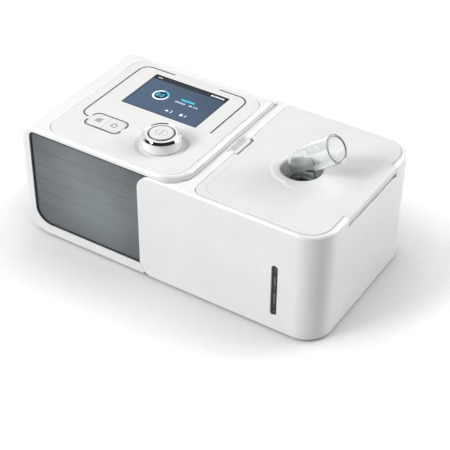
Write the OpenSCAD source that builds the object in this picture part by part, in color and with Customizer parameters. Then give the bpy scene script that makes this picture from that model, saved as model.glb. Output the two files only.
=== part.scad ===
// Bilevel positive airway pressure machine: a main unit with a raised control deck and, docked
// on its right, a heated humidifier with a hinged lid and a swivel outlet elbow.
// Millimetres. X runs to the right, Y to the back, Z up. The origin is under the middle of the
// machine, on the surface it stands on.

/* [Body] */
// Width of the machine, main unit and humidifier together
body_w = 266; // [262:1:280]
// Depth of the machine
body_d = 145; // [143:1:156]
// Height of the main unit above its underside
deck_h = 100; // [99:0.5:106]
// Height of the humidifier above the underside of the main unit
lid_h = 95; // [93:0.5:95.5]
// Width of the main unit
main_w = 146.5; // [145:0.5:150]
// Wall of the casings
wall = 2.5; // [2:0.1:3]
// How far the rubber feet stand out below the main unit
foot_h = 1.5; // [1:0.1:3]
// Joint line between the main unit and the humidifier
dock_gap = 0.5; // [0.3:0.1:0.8]
// Seam round fixed inset pieces
seam = 0.3; // [0.2:0.05:0.4]
// Space between bodies that move past each other
clear = 0.35; // [0.3:0.05:0.45]

/* [Main unit] */
// Radius of the left top edge
left_top_r = 13; // [10:0.5:15]
// Radius of the left bottom edge
left_bottom_r = 19; // [15:0.5:22]
// Radius of the back top edge
back_top_r = 16; // [12:0.5:18]
// Radius of the back bottom edge
back_bottom_r = 6; // [4:0.5:8]
// Rounding of the front rim
rim_r = 1.6; // [1:0.1:2]
// Rounding of the deck's right edge
deck_edge_r = 3.2; // [2.5:0.1:3.5]
// Plan radius of the deck's front right corner
deck_front_r = 20; // [18:0.5:22]
// Plan radius of the deck's back right corner
deck_back_r = 14; // [12:0.5:16]
// Height at which the casing halves meet
split_h = 22; // [20:0.5:24]
// Thickness of the deck
deck_t = 4; // [3.6:0.1:4.4]
// Depth behind which the front frame stops being solid
frame_t = 6; // [5.5:0.1:7]

/* [Front panel] */
// Left edge of the grey panel
panel_x0 = 8.5; // [7.5:0.5:10]
// Bottom edge of the grey panel
panel_z0 = 10.5; // [9:0.5:12]
// Radius of the panel's top corner
panel_top_r = 5; // [4:0.5:6]
// Radius of the panel's bottom corner
panel_bottom_r = 14; // [10:0.5:16]
// How far the panel lies behind the rim
panel_inset = 1.2; // [0.8:0.1:1.6]
// Thickness of the panel
panel_t = 2.3; // [2:0.1:2.6]
// Number of grooves across the panel
groove_n = 5; // [3:1:6]
// Distance between the panel's grooves
groove_pitch = 13; // [11:0.5:14]
// Width of a panel groove
groove_w = 0.8; // [0.6:0.1:1.2]

/* [Controls] */
// Width of the visible screen
screen_w = 70; // [66:1:72]
// Depth of the visible screen
screen_d = 49.5; // [46:0.5:52]
// Share of the plate's spare depth that lies behind the screen
screen_back_share = 0.364; // [0.33:0.001:0.4]
// Thickness of the control plate
plate_t = 2; // [1.8:0.1:2.2]
// Left edge of the control plate
plate_x0 = 20.5; // [19:0.5:22]
// Width of the deck's rim round the control plate
plate_rim = 4.5; // [4:0.5:5]
// Share of the plate's spare width that lies right of the dish
dish_right_share = 0.278; // [0.25:0.001:0.3]
// Share of the plate's spare depth that lies in front of the dish
dish_front_share = 0.31; // [0.28:0.001:0.34]
// Radius of the dial's ring
dial_r = 14.4; // [13:0.2:15.4]
// Height of the dial's top above the deck
dial_h = 10; // [9:0.5:12]
// Radius of the start button in the dial
start_r = 9.15; // [8.5:0.05:10]
// Radius of the dish round the dial
dish_r = 21.7; // [20:0.1:23]
// Width of the two-button capsule
keys_w = 32; // [28:1:34]
// Depth of the two-button capsule
keys_d = 16; // [14:0.5:17]
// Share of the plate's spare width that lies left of the capsule
keys_left_share = 0.445; // [0.42:0.001:0.48]
// How far the capsule's middle lies in front of the dial's
keys_front = 2; // [0:0.5:3]
// Travel of the two small buttons
key_travel = 0.8; // [0.5:0.1:1]
// Travel of the start button
start_travel = 1; // [0.6:0.1:1.2]

/* [Humidifier] */
// How far the front wing laps over the main unit
wing_lap = 37.2; // [34:0.1:40]
// Thickness of the front wing
wing_t = 12; // [10.5:0.5:13]
// Height of the humidifier's underside
hum_z0 = 0.8; // [0.6:0.1:1.4]
// Radius of the wing's top corner
wing_top_r = 13; // [11:0.5:14]
// Radius of the wing's bottom corner
wing_bottom_r = 12; // [10:0.5:14]
// Radius of the two upright edges on the right
hum_corner_r = 21.5; // [19:0.5:23]
// Rounding of the humidifier's top edge
hum_edge_r = 3; // [2.4:0.1:3]
// Width of the rim in front of and behind the lid
lid_rim = 3.5; // [3.3:0.1:4.5]
// Width of the rim left of the lid
lid_left_rim = 8.5; // [7.5:0.5:10]
// Thickness of the lid
lid_t = 3; // [2.6:0.1:3]
// Plan radius of the lid's left corners
lid_left_r = 8; // [6:0.5:10]
// Plan radius of the lid's right corners
lid_right_r = 17.6; // [16:0.1:19]
// Depth of the lid's sunken front field
field_depth = 0.8; // [0.4:0.1:1]
// Radius of the field's edge round the well
field_r = 24; // [22:0.5:26]
// Depth over which the field runs out to nothing beside the well
field_fade = 28; // [24:1:32]
// Distance from the front to the part of the lid that wraps over the right side
skirt_front = 37.4; // [34:0.1:42]
// Distance from that part to the back
skirt_back = 33.6; // [30:0.1:38]
// Radius of the hinge barrel
barrel_r = 3; // [2.6:0.1:3]
// Radius of the hinge pin
pin_r = 1.5; // [1.2:0.1:1.6]
// Distance from the water level window to the right side
window_right = 35.1; // [28:0.1:46]
// Width of the window
window_w = 5; // [4:0.5:7]
// Bottom of the window
window_z0 = 12; // [10:0.5:16]
// Top of the window
window_z1 = 68; // [60:1:74]

/* [Outlet] */
// How far the outlet lies left of the tank's middle
outlet_left = 1; // [0:0.5:4]
// Radius of the well in the lid
well_r = 16; // [15.5:0.1:17.5]
// Radius of the hose fitting, for a 22 mm hose cuff
cuff_r = 11; // [11:0.1:11.5]
// Length of the hose fitting
cuff_len = 23; // [20:0.5:26]
// Radius of the elbow's bend and riser
bend_r = 10.5; // [10.2:0.1:10.8]
// Radius of the air passage in the elbow
bore_r = 9; // [8:0.1:9.2]
// Angle of the elbow's arm above the horizontal
arm_angle = 37; // [32:1:45]
// Length of the arm from the bend's centre
arm_len = 34.3; // [33:0.1:38]
// Height of the bend's centre above the lid
bend_rise = 6.3; // [5.5:0.1:8]

/* [Blower] */
// Centre of the blower as a share of the main unit's width
blower_share = 0.355; // [0.345:0.001:0.365]
// Centre of the blower from the front
blower_y = 76; // [75:0.5:78]
// Outer radius of the blower housing
blower_r = 40; // [37:0.5:40]
// Height of the housing's floor
blower_z0 = 52; // [51:0.5:53]
// Height of the housing's roof
blower_z1 = 80; // [79:0.5:80.5]
// Wall of the blower housing
blower_t = 2; // [1.6:0.1:2.2]
// Radius of the impeller
impeller_r = 28; // [25:0.5:30]
// Number of impeller blades
blade_n = 11; // [7:1:13]
// Radius of the air passage between blower and water tank
duct_r = 9; // [8:0.1:9.2]
// Radius of the motor shaft
shaft_r = 1.5; // [1.2:0.1:1.6]
// Distance of the rubber mounts from the blower's axis
mount_out = 30; // [24:1:34]
// Radius of a rubber mount
mount_r = 4.5; // [3:0.5:6]
// Foam left above the floor and below the roof of the silencer box
foam_floor = 12; // [8:1:16]
// Left side of the channel in the foam, from the filter's left edge
channel_from = 8; // [4:1:12]
// Width of the channel in the foam
channel_w = 16; // [10:1:24]

/* [Water tank] */
// Distance from the humidifier's left side to the tank
tank_left = 13; // [12.5:0.5:16]
// Distance from the tank to the humidifier's right side
tank_right = 9; // [9:0.5:12]
// Space in front of and behind the tank
tank_margin = 7.5; // [7.2:0.1:9]
// Floor of the tank
tank_z0 = 12; // [11.6:0.1:13]
// Rim of the tank
tank_z1 = 86; // [84:0.5:86]
// Wall of the tank
tank_t = 2; // [1.6:0.1:2.6]
// Space between the heater plate and the tank's sides
heater_margin = 6.5; // [5.5:0.5:10]

/* [Back] */
// Left edge of the filter opening
filter_x = 24; // [22:0.5:28]
// Width of the filter opening
filter_w = 56; // [50:1:58]
// Bottom of the filter opening
filter_z = 12; // [12:0.5:13]
// Height of the filter opening
filter_h = 30; // [26:0.5:30]
// Distance from the power inlet to the main unit's right side
inlet_right = 26.5; // [25.5:0.5:28.5]
// Height of the power inlet
inlet_z = 26; // [25:0.5:34]
// Radius of the power inlet's bore
inlet_r = 2.85; // [2.7:0.05:3.2]
// Radius of the pin in the power inlet
inlet_pin_r = 1.25; // [1:0.05:1.3]
// Depth of the power inlet's bore
inlet_len = 9; // [8:0.5:10]

/* [Hidden] */
$fn = 96;

gloss_white = "#f4f5f5";
warm_white = "#ecedec";
slate_grey = "#7a8083";
board_green = "#2f6b4a";
soft_grey = "#9a9d9e";
black = "#26282a";

// Running fit on a radius, and the reach of a cut past the surface it opens
fit = 0.05;
past = 1;
mid_y = body_d / 2;

// Deck and control plate
deck_under = deck_h - deck_t;
plate_x1 = main_w - plate_rim;
plate_y0 = plate_rim;
plate_y1 = body_d - back_top_r;
plate_z = deck_h - plate_t;
ledge = 3;
plate_radii = [12, deck_front_r - plate_rim, 13, 13];
spare_w = plate_x1 - plate_x0 - keys_w - 2 * dish_r;
spare_d = plate_y1 - plate_y0 - screen_d - 2 * dish_r;
dial_x = plate_x1 - dish_right_share * spare_w - dish_r;
dial_y = plate_y0 + dish_front_share * spare_d + dish_r;
keys_x = plate_x0 + keys_left_share * spare_w;
keys_y = dial_y - keys_front - keys_d / 2;
screen_x = (plate_x0 + plate_x1 - screen_w) / 2;
screen_y = plate_y1 - screen_back_share * spare_d - screen_d;
glass_t = plate_t - 0.2;
lcd_rim = 3;
board_t = 1.6;
display_z = deck_h - 9.6;
board_x0 = plate_x0 + ledge + 0.5;
board_x1 = plate_x1 - ledge - 1;
chip_w = 12;
chip_d = 14;
chip_t = 2;
groove_in = 12;
groove_back = 5.5;
line_w = 0.8;

// Dish and dial
dish_depth = 1.2;
dish_z = deck_h - dish_depth;
boss_t = 1.5;
boss_under = plate_z - boss_t;
bush_r = 5.5;
bush_top = deck_h + 4;
dial_foot_z = dish_z + 0.6;
dial_top_z = deck_h + dial_h;
ring_h = 2.8;
ring_w = 1.5;
dial_web_z = dial_top_z - 6.5;
start_gap = 0.35;
web_t = 2;
stem_r = 3;

// Small buttons
key_r = 6;
key_gap = 0.2;
key_stand = 0.5;
key_mid = keys_x + keys_w / 2;
key_flange = 0.8;
key_flange_t = 1.2;
key_under = plate_z - 0.3 - key_flange_t;

// Grey panel
wing_x = main_w - wing_lap;
panel_x1 = wing_x + wing_top_r + 0.7;
panel_z1 = deck_under - 0.4;
panel_y1 = panel_inset + panel_t;
notch_top = lid_h + 0.4;
notch_y = wing_t + dock_gap;
frame_back = notch_y + wall;

// Casing fixings
post_r = 4;
post_hole_r = 1.7;
screw_r = 1.5;
screw_head_r = 3;
screw_head_t = 1.9;
screw_len = 34;
post_x = 14;
post_y = 21;
post_back = 10;
post_places = [
    [post_x, post_y], [main_w - post_r - 2, post_y],
    [main_w - post_r - 3, body_d - post_back - 0.5], [post_x, body_d - post_back]
];

// Back
rear_x0 = 9;
rear_z0 = 9;
rear_z1 = 79;
flange_w = 2;
rear_x1 = main_w - deck_back_r - flange_w - seam;
rear_skin_y = body_d - 0.3;
filter_y = body_d - 11;
filter_t = 5;
louvre_n = 6;
inlet_x = main_w - inlet_right;
inlet_wall = 3.15;
inlet_flange = 7;
slot_n = 8;
slot_w = 1.4;
slot_pitch = 3;
slot_z = 50;
slot_h = 14;

// Blower and its air path
blower_x = blower_share * main_w;
duct_y = blower_y - blower_r + duct_r + blower_t + 1;
duct_z = 66;
duct_t = 2.3;
duct_len = 46.5;
nozzle_x = main_w - duct_len;
rib_n = 5;
rib_w = 3;
rib_h = 1.5;
eye_r = 14;
motor_r = 16;
motor_z0 = blower_z1 + 0.2;
motor_z1 = 89.5;
bearing_r = 3.2;
bearing_h = 3;
board_w = 28;
board_right = 12.5;
box_x0 = 12;
box_x1 = main_w - board_right - board_w - 6;
box_y0 = 27;
box_y1 = body_d - 15;
box_z0 = 8;
box_z1 = 44;
box_t = 2;

// Main board
main_board_x1 = main_w - board_right;
main_board_x0 = main_board_x1 - board_w;
main_board_y0 = 28;
main_board_y1 = body_d - 21;
main_board_z = 8;

can_r = 5;
can_h = 16;
can_pitch = 13;

// Floor of the main unit
vent_n = 5;
vent_w = 3;
vent_y0 = body_d - 35;
vent_y1 = body_d - 17;
stay_n = 3;
stay_w = 2;

// Feet
rubber_r = 6;
foot_left = 30;
foot_right = 48.5;
foot_end = 18;
hum_foot_left = 20;
hum_foot_right = 26;
hum_foot_end = 20;

// Humidifier
hum_x0 = main_w + dock_gap;
lid_x0 = hum_x0 + lid_left_rim;
tank_x0 = hum_x0 + tank_left;
tank_x1 = body_w - tank_right;
window_x = body_w - window_right - window_w;
skirt_y0 = skirt_front;
skirt_y1 = body_d - skirt_back;
hum_in_x0 = hum_x0 + wall;
hum_in_x1 = body_w - wall;
hum_in_top = lid_h - lid_t;
tip_x = main_w - 6.5;
axis_x = body_w - barrel_r;
axis_z = lid_h - 4.4;
roll_r = lid_h - axis_z;
roll_in_r = roll_r + clear;
lid_y0 = lid_rim;
lid_y1 = body_d - lid_rim;
lid_x1 = axis_x - 1.8;
lid_gap = 0.6;
lid_under = lid_h - lid_t;
land = 0.3;
ledge_z0 = lid_under - 3.4;
ledge_z1 = lid_under - 0.3;
slit_z = axis_z - barrel_r - 1.3;
tank_y0 = tank_margin;
tank_y1 = body_d - tank_margin;
tank_r = 15;
base_t = 2.5;
heater_z = 6.5;
heater_t = 3;
heater_x = (tank_x0 + tank_x1) / 2;
heater_r = min(tank_x1 - tank_x0, tank_y1 - tank_y0) / 2 - heater_margin;
hum_post_r = 3;
hum_screw_r = 1.25;
hum_screw_top = 30;
hum_post_x0 = hum_in_x0 + hum_post_r - 0.2;
hum_post_x1 = hum_in_x1 - hum_post_r + 0.1;
hum_post_in = wall + 2 * hum_post_r;
hum_post_end = hum_corner_r + 1.5;
hum_posts = [
    [hum_post_x0, hum_post_in], [hum_post_x0, body_d - hum_post_in],
    [hum_post_x1, hum_post_end], [hum_post_x1, body_d - hum_post_end]
];
hum_slot_n = 9;
hum_slot_pitch = 9;
hum_slot_l = 60;
seal_w = 4;
field_in = 4;
field_corner = 10;

// Latch
latch_y = mid_y + 0.5;
latch_l = 21;
latch_x0 = hum_x0 + 2.3;
latch_x1 = lid_x0 + 1.8;
latch_travel = 1.8;
latch_side = 0.9;
foot_in = 3.5;
foot_z1 = lid_under - 0.2;
foot_t = 2.4;
foot_reach = 12;
foot_x1 = lid_x0 + foot_reach;
rail_t = 2;
lip_t = 1;

// Outlet
outlet_x = heater_x - outlet_left;
bend_z = lid_h + bend_rise;
cup_t = 2.5;
cup_floor = 79;
cup_floor_t = 3;
sleeve_z = 66;
sleeve_t = 2.5;
collar_r = 14.5;
collar_t = 2.2;
seal_z = 71;
seal_h = 2.2;
seal_t = 1.4;
ball = 0.2;

module at_body() {
    translate([-body_w / 2, -body_d / 2, foot_h]) children();
}

// Extrude a drawing of (x, z) from y0 to y1
module along_y(y0, y1) {
    translate([0, y1, 0]) rotate([90, 0, 0]) linear_extrude(y1 - y0) children();
}

// Extrude a drawing of (y, z) from x0 to x1
module along_x(x0, x1) {
    translate([x0, 0, 0]) rotate([90, 0, 90]) linear_extrude(x1 - x0) children();
}

// What a corner of radius r loses from a square corner at the origin
module corner_waste(r) {
    difference() {
        translate([-past, -past]) square([r + past, r + past]);
        translate([r, r]) circle(r);
    }
}

// Rectangle with its own radius at each corner: near left, near right, far right, far left
module round_rect(x0, y0, x1, y1, radii) {
    difference() {
        translate([x0, y0]) square([x1 - x0, y1 - y0]);
        if (radii[0] > 0) translate([x0, y0]) corner_waste(radii[0]);
        if (radii[1] > 0) translate([x1, y0]) rotate(90) corner_waste(radii[1]);
        if (radii[2] > 0) translate([x1, y1]) rotate(180) corner_waste(radii[2]);
        if (radii[3] > 0) translate([x0, y1]) rotate(270) corner_waste(radii[3]);
    }
}

module box(x0, x1, y0, y1, z0, z1) {
    translate([x0, y0, z0]) cube([x1 - x0, y1 - y0, z1 - z0]);
}

module rod_x(x0, x1, y, z, r) {
    translate([x0, y, z]) rotate([0, 90, 0]) cylinder(h = x1 - x0, r = r);
}

module rod_y(y0, y1, x, z, r) {
    translate([x, y0, z]) rotate([-90, 0, 0]) cylinder(h = y1 - y0, r = r);
}

module rod_z(x, y, z0, z1, r) {
    translate([x, y, z0]) cylinder(h = z1 - z0, r = r);
}

// Slab with rounded plan corners and a rounded top edge: bars between corners, columns in them
module slab(x0, y0, x1, y1, z0, z1, rl, rr, top) {
    along_x(x0 + rl, x1 - rr) round_rect(y0, z0, y1, z1, [0, 0, top, top]);
    along_y(y0 + rl, y1 - rl) round_rect(x0, z0, x0 + rl + past, z1, [0, 0, 0, top]);
    along_y(y0 + rr, y1 - rr) round_rect(x1 - rr - past, z0, x1, z1, [0, 0, top, 0]);
    for (p = [[x0 + rl, y0 + rl, rl], [x0 + rl, y1 - rl, rl], [x1 - rr, y0 + rr, rr], [x1 - rr, y1 - rr, rr]])
        translate([p[0], p[1], 0]) rotate_extrude() round_rect(0, z0, p[2], z1, [0, 0, top, 0]);
}

// Main unit's outside: the front outline, the side outline and the plan, one cut by the other
module main_outside() {
    intersection() {
        along_y(0, body_d)
            round_rect(0, 0, main_w, deck_h, [left_bottom_r, 2, deck_edge_r, left_top_r]);
        along_x(-past, main_w + past)
            round_rect(0, 0, body_d, deck_h, [rim_r, back_bottom_r, back_top_r, rim_r]);
        translate([0, 0, -past]) linear_extrude(deck_h + 2 * past)
            round_rect(0, 0, main_w, body_d, [rim_r, deck_front_r, deck_back_r, 6]);
    }
}

// Rounds the deck's top edge along its front right corner
module deck_corner_cut() {
    reach = deck_front_r - deck_edge_r;
    translate([main_w - deck_front_r, deck_front_r, 0]) rotate([0, 0, -90]) rotate_extrude(angle = 90)
        difference() {
            translate([reach, deck_h - deck_edge_r]) square([deck_edge_r + 3, deck_edge_r + past]);
            translate([reach, deck_h - deck_edge_r]) circle(deck_edge_r);
        }
}

// Hollow of the main unit, open at the front for the front frame
module main_hollow() {
    intersection() {
        along_y(-past, body_d - wall)
            round_rect(wall, wall, main_w - wall, deck_under,
                [left_bottom_r - wall, 1, 1, left_top_r - wall]);
        along_x(0, main_w)
            round_rect(-3 * past, wall, body_d - wall, deck_under,
                [0, back_bottom_r - wall, back_top_r - wall, 0]);
        union() {
            linear_extrude(deck_h)
                round_rect(-past, frame_back, main_w - wall, body_d - wall, [0, 2, deck_back_r - wall, 0]);
            box(-past, wing_x - wall, -3 * past, frame_back + past, 0, deck_h);
            box(wing_x - wall - past, panel_x1 + 1, -3 * past, panel_y1 + 0.6, 0, deck_h);
            intersection() {
                deck_plan_block();
                box(wing_x - wall - past, main_w, -3 * past, frame_back + past, 0, notch_top);
            }
        }
    }
}

// Block with the plan of the deck's front right corner, one wall further in
module deck_plan_block() {
    linear_extrude(deck_h) round_rect(0, 0, main_w - wall, body_d, [0, deck_front_r - wall, 0, 0]);
}

// Front outline of the humidifier's wing, grown by o
module wing_outline(o) {
    round_rect(wing_x - o, hum_z0 - o, body_w + 20, lid_h + o, [wing_bottom_r + o, 0, 0, wing_top_r + o]);
}

// Room for the wing in front of the main unit
module wing_notch(o) {
    along_y(-past, notch_y) wing_outline(o);
    box(wing_x + wing_bottom_r, main_w + past, -past, notch_y, -past, hum_z0 + 2);
}

// Plan of the main unit below the deck, grown by o
module main_plan(o) {
    intersection() {
        round_rect(-20, -20, main_w + o, body_d + o, [0, 0, deck_back_r + o, 0]);
        round_rect(-20, -o, main_w + o, body_d + 20, [0, deck_front_r + o, 0, 0]);
        translate([-30, notch_y - o]) square([main_w + 60, body_d + 40]);
    }
}

module rear_opening() {
    along_y(body_d - wall - past, body_d + past)
        round_rect(rear_x0, rear_z0, rear_x1, rear_z1, [3, 3, 3, 3]);
}

module control_recess() {
    translate([0, 0, plate_z - 0.1]) linear_extrude(plate_t + past)
        round_rect(plate_x0 - seam, plate_y0 - seam, plate_x1 + seam, plate_y1 + seam,
            [for (r = plate_radii) r + seam]);
    translate([0, 0, deck_under - 2]) linear_extrude(deck_t + past)
        round_rect(plate_x0 + ledge, plate_y0 + ledge + 8, plate_x1 - ledge, plate_y1 - ledge,
            [for (r = plate_radii) r - ledge]);
}

module lower_casing() at_body() color(gloss_white) {
    difference() {
        intersection() {
            main_outside();
            box(-past, main_w + past, -past, body_d + past, -past, split_h);
        }
        main_hollow();
        wing_notch(0.4);
        rear_opening();
        for (p = post_places) {
            rod_z(p[0], p[1], -past, 2 * wall, post_hole_r);
            rod_z(p[0], p[1], -past, screw_head_t, screw_head_r + 0.2);
        }
        for (i = [0 : vent_n - 1]) {
            x = filter_x + i * filter_w / (vent_n - 1);
            box(x, x + vent_w, vent_y0, vent_y1, -past, wall + past);
        }
    }
    for (p = post_places) difference() {
        rod_z(p[0], p[1], wall, split_h, post_r);
        rod_z(p[0], p[1], 0, split_h + past, post_hole_r);
    }
    for (i = [0 : stay_n - 1]) {
        x = box_x0 + (i + 0.5) * (box_x1 - box_x0) / stay_n;
        box(x - stay_w / 2, x + stay_w / 2, box_y0 + 7, vent_y0 - 6, wall - 0.5, box_z0);
    }
    for (x = [main_board_x0 + 5, main_board_x1 - 5], y = [main_board_y0 + 5, main_board_y1 - 5])
        rod_z(x, y, wall - 0.5, main_board_z, 3);
}

module upper_casing() at_body() color(gloss_white) {
    difference() {
        intersection() {
            main_outside();
            box(-past, main_w + past, -past, body_d + past, split_h, deck_h + past);
        }
        deck_corner_cut();
        main_hollow();
        wing_notch(0.4);
        rear_opening();
        control_recess();
        rod_x(main_w - wall - past, main_w + past, duct_y, duct_z, duct_r + duct_t + 0.4);
    }
    for (p = post_places) difference() {
        rod_z(p[0], p[1], split_h, deck_under + 0.5, post_r);
        rod_z(p[0], p[1], split_h - past, screw_len + 2, screw_r);
    }
}

// Moulded frame behind the rim: carries the grey panel and closes the main unit behind the wing
module front_frame() at_body() color(warm_white) {
    difference() {
        intersection() {
            along_y(seam, frame_back)
                round_rect(wall + 0.1, wall + 0.1, main_w - wall - 0.1, deck_under - 0.1,
                    [left_bottom_r - wall, 1, 1, left_top_r - wall]);
            translate([-0.1, 0.1, 0]) deck_plan_block();
        }
        along_y(-past, panel_y1 + 0.1)
            round_rect(panel_x0 - 0.2, panel_z0 - 0.2, panel_x1 + 4, panel_z1 + 3,
                [panel_bottom_r, 0, 0, panel_top_r]);
        wing_notch(0.4);
        box(wall + 3, wing_x - wall, frame_t, frame_back + past, wall + 3, deck_under - 3);
        box(wing_x - wall - 0.1, main_w, -past, frame_back + past, notch_top - 0.1, deck_h);
        for (p = post_places) rod_z(p[0], p[1], 0, deck_h, post_r + 0.2);
    }
}

module front_panel() at_body() color(slate_grey) {
    difference() {
        along_y(panel_inset, panel_y1)
            round_rect(panel_x0, panel_z0, panel_x1, panel_z1, [panel_bottom_r, 0, 0, panel_top_r]);
        wing_notch(0.55);
        for (i = [1 : groove_n]) {
            z = panel_z1 - groove_pitch * (i + 0.2);
            box(panel_x0 + 3, wing_x - 3, 0, panel_inset + 0.6, z, z + groove_w);
        }
    }
}

module rear_panel() at_body() color(warm_white) {
    difference() {
        union() {
            along_y(body_d - wall, rear_skin_y)
                round_rect(rear_x0 + seam, rear_z0 + seam, rear_x1 - seam, rear_z1 - seam, [3, 3, 3, 3]);
            along_y(body_d - 2 * wall, body_d - wall)
                round_rect(rear_x0 - flange_w, rear_z0 - flange_w, rear_x1 + flange_w, rear_z1 + flange_w,
                    [4, 4, 4, 4]);
        }
        along_y(body_d - 3 * wall, body_d)
            round_rect(filter_x, filter_z, filter_x + filter_w, filter_z + filter_h, [3, 3, 3, 3]);
        rod_y(body_d - 3 * wall, body_d, inlet_x, inlet_z, inlet_r + inlet_wall + 0.2);
        for (i = [0 : slot_n - 1]) {
            x = main_board_x0 + slot_pitch * i;
            box(x, x + slot_w, body_d - 3 * wall, body_d, slot_z, slot_z + slot_h);
        }
    }
    // Pocket behind the skin that the filter lies in
    difference() {
        along_y(filter_y - 1, body_d - 2 * wall)
            round_rect(filter_x - 2, filter_z - 2, filter_x + filter_w + 2, filter_z + filter_h + 2,
                [3, 3, 3, 3]);
        along_y(filter_y - 2, body_d)
            round_rect(filter_x, filter_z, filter_x + filter_w, filter_z + filter_h, [3, 3, 3, 3]);
    }
}

module filter_cover() at_body() color(gloss_white) {
    difference() {
        along_y(filter_y + filter_t + 0.5, rear_skin_y)
            round_rect(filter_x + seam, filter_z + seam,
                filter_x + filter_w - seam, filter_z + filter_h - seam,
                [2.7, 2.7, 2.7, 2.7]);
        box(filter_x + 3, filter_x + filter_w - 3, filter_y, body_d - wall,
            filter_z + 3, filter_z + filter_h - 3);
        for (i = [0 : louvre_n - 1]) {
            z = filter_z + 4 + i * (filter_h - 9) / (louvre_n - 1);
            box(filter_x + 6, filter_x + filter_w - 6, filter_y, body_d + past, z, z + 1.6);
        }
    }
}

module air_filter() at_body() color(soft_grey) {
    along_y(filter_y, filter_y + filter_t)
        round_rect(filter_x + 0.2, filter_z + 0.2, filter_x + filter_w - 0.2, filter_z + filter_h - 0.2,
            [2.8, 2.8, 2.8, 2.8]);
}

module power_inlet() at_body() color(black) {
    difference() {
        union() {
            rod_y(rear_skin_y - inlet_len - 4, rear_skin_y, inlet_x, inlet_z, inlet_r + inlet_wall);
            box(inlet_x - inlet_flange, inlet_x + inlet_flange, body_d - inlet_len - inlet_flange,
                body_d - 2 * wall - 0.1, inlet_z - inlet_flange, inlet_z + inlet_flange);
        }
        rod_y(rear_skin_y - inlet_len, body_d + past, inlet_x, inlet_z, inlet_r);
    }
    rod_y(rear_skin_y - inlet_len - 0.5, rear_skin_y - 1.5, inlet_x, inlet_z, inlet_pin_r);
}

// Outline of both small buttons together, shrunk by o
module keys_outline(o) {
    round_rect(keys_x + o, keys_y + o, keys_x + keys_w - o, keys_y + keys_d - o,
        [for (i = [0 : 3]) key_r - o]);
}

// Thin groove drawn round the screen, open at the back and at the front right
module screen_groove() {
    x0 = plate_x0 + groove_in;
    x1 = plate_x1 - groove_in;
    y0 = keys_y + 3;
    y1 = plate_y1 - groove_back;
    w = line_w;
    difference() {
        round_rect(x0, y0, x1, y1, [7, 7, 8, 8]);
        round_rect(x0 + w, y0 + w, x1 - w, y1 - w, [7 - w, 7 - w, 8 - w, 8 - w]);
        translate([keys_x - 2, 0]) square([plate_x1, screen_y - 2]);
        translate([screen_x + 14, plate_y1 - 10]) square([screen_w - 18, 10]);
    }
}

module control_plate() at_body() color(gloss_white) {
    difference() {
        union() {
            translate([0, 0, plate_z]) linear_extrude(plate_t)
                round_rect(plate_x0, plate_y0, plate_x1, plate_y1, plate_radii);
            rod_z(dial_x, dial_y, boss_under, plate_z + 0.5, dish_r - 2);
        }
        translate([dial_x, dial_y, dish_z]) cylinder(h = dish_depth + 0.01, r1 = dish_r - 5, r2 = dish_r);
        rod_z(dial_x, dial_y, boss_under - past, deck_h, bush_r + 0.3);
        box(screen_x, screen_x + screen_w, screen_y, screen_y + screen_d, plate_z - past, deck_h + past);
        translate([0, 0, plate_z - past]) linear_extrude(plate_t + 2 * past) keys_outline(0);
        translate([0, 0, deck_h - 0.6]) linear_extrude(past) screen_groove();
    }
}

module screen_glass() at_body() color("#46566f") {
    box(screen_x + 0.2, screen_x + screen_w - 0.2, screen_y + 0.2, screen_y + screen_d - 0.2,
        plate_z, plate_z + glass_t);
}

module lcd_module() at_body() color(black) {
    difference() {
        box(screen_x - lcd_rim, screen_x + screen_w + lcd_rim,
            screen_y - lcd_rim, screen_y + screen_d + lcd_rim,
            display_z + board_t + 0.2, plate_z - 0.1);
        box(screen_x, screen_x + screen_w, screen_y, screen_y + screen_d, plate_z - 0.6, plate_z);
    }
}

module display_board() at_body() color(board_green) {
    box(board_x0, board_x1, keys_y, plate_y1 - ledge - 0.5, display_z, display_z + board_t);
    for (x = [keys_x + keys_w / 4, keys_x + 3 * keys_w / 4])
        rod_z(x, screen_y - chip_w, display_z + board_t - 0.5, display_z + board_t + 1.5, 1.5);
    box(board_x0 + 4, board_x0 + 4 + chip_w, keys_y + 2 * chip_w, keys_y + 2 * chip_w + chip_d,
        display_z - chip_t, display_z + 0.5);
}

// One keycap: its half of the outline, with a flange under the plate that keeps it in
module keycap(x0, x1) {
    intersection() {
        union() {
            translate([0, 0, key_under]) linear_extrude(deck_h + key_stand - key_under) keys_outline(key_gap);
            translate([0, 0, key_under]) linear_extrude(key_flange_t) keys_outline(-key_flange);
        }
        box(x0, x1, keys_y - 5, keys_y + keys_d + 5, key_under, deck_h + key_stand);
    }
}

module ramp_button() at_body() color(gloss_white) {
    keycap(keys_x - 5, key_mid - key_gap);
}

module home_button() at_body() color(gloss_white) {
    keycap(key_mid + key_gap, keys_x + keys_w + 5);
}

module button_pad() at_body() color(soft_grey) {
    pad_z = display_z + board_t + 0.1;
    translate([0, 0, pad_z]) linear_extrude(2.4) keys_outline(-1);
    for (x = [keys_x + keys_w / 4, keys_x + 3 * keys_w / 4])
        rod_z(x, keys_y + keys_d / 2, pad_z + 2, key_under - key_travel - 0.1, 3.5);
}

module dial() at_body() color(gloss_white) {
    seat_r = dial_r - ring_w;
    mouth_r = start_r + start_gap;
    translate([dial_x, dial_y, 0]) rotate_extrude() polygon([
        [bush_r + fit, dial_foot_z], [bush_r + 2.5, dial_foot_z], [bush_r + 2.5, dial_web_z - web_t],
        [seat_r - 0.6, dial_web_z - web_t], [seat_r - 0.6, dial_foot_z], [dial_r + 0.5, dial_foot_z],
        [dial_r, dial_top_z - ring_h], [seat_r, dial_top_z - ring_h], [seat_r, dial_top_z - 0.6],
        [mouth_r, dial_top_z - 0.6], [mouth_r, dial_web_z], [bush_r + fit, dial_web_z]
    ]);
}

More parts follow.
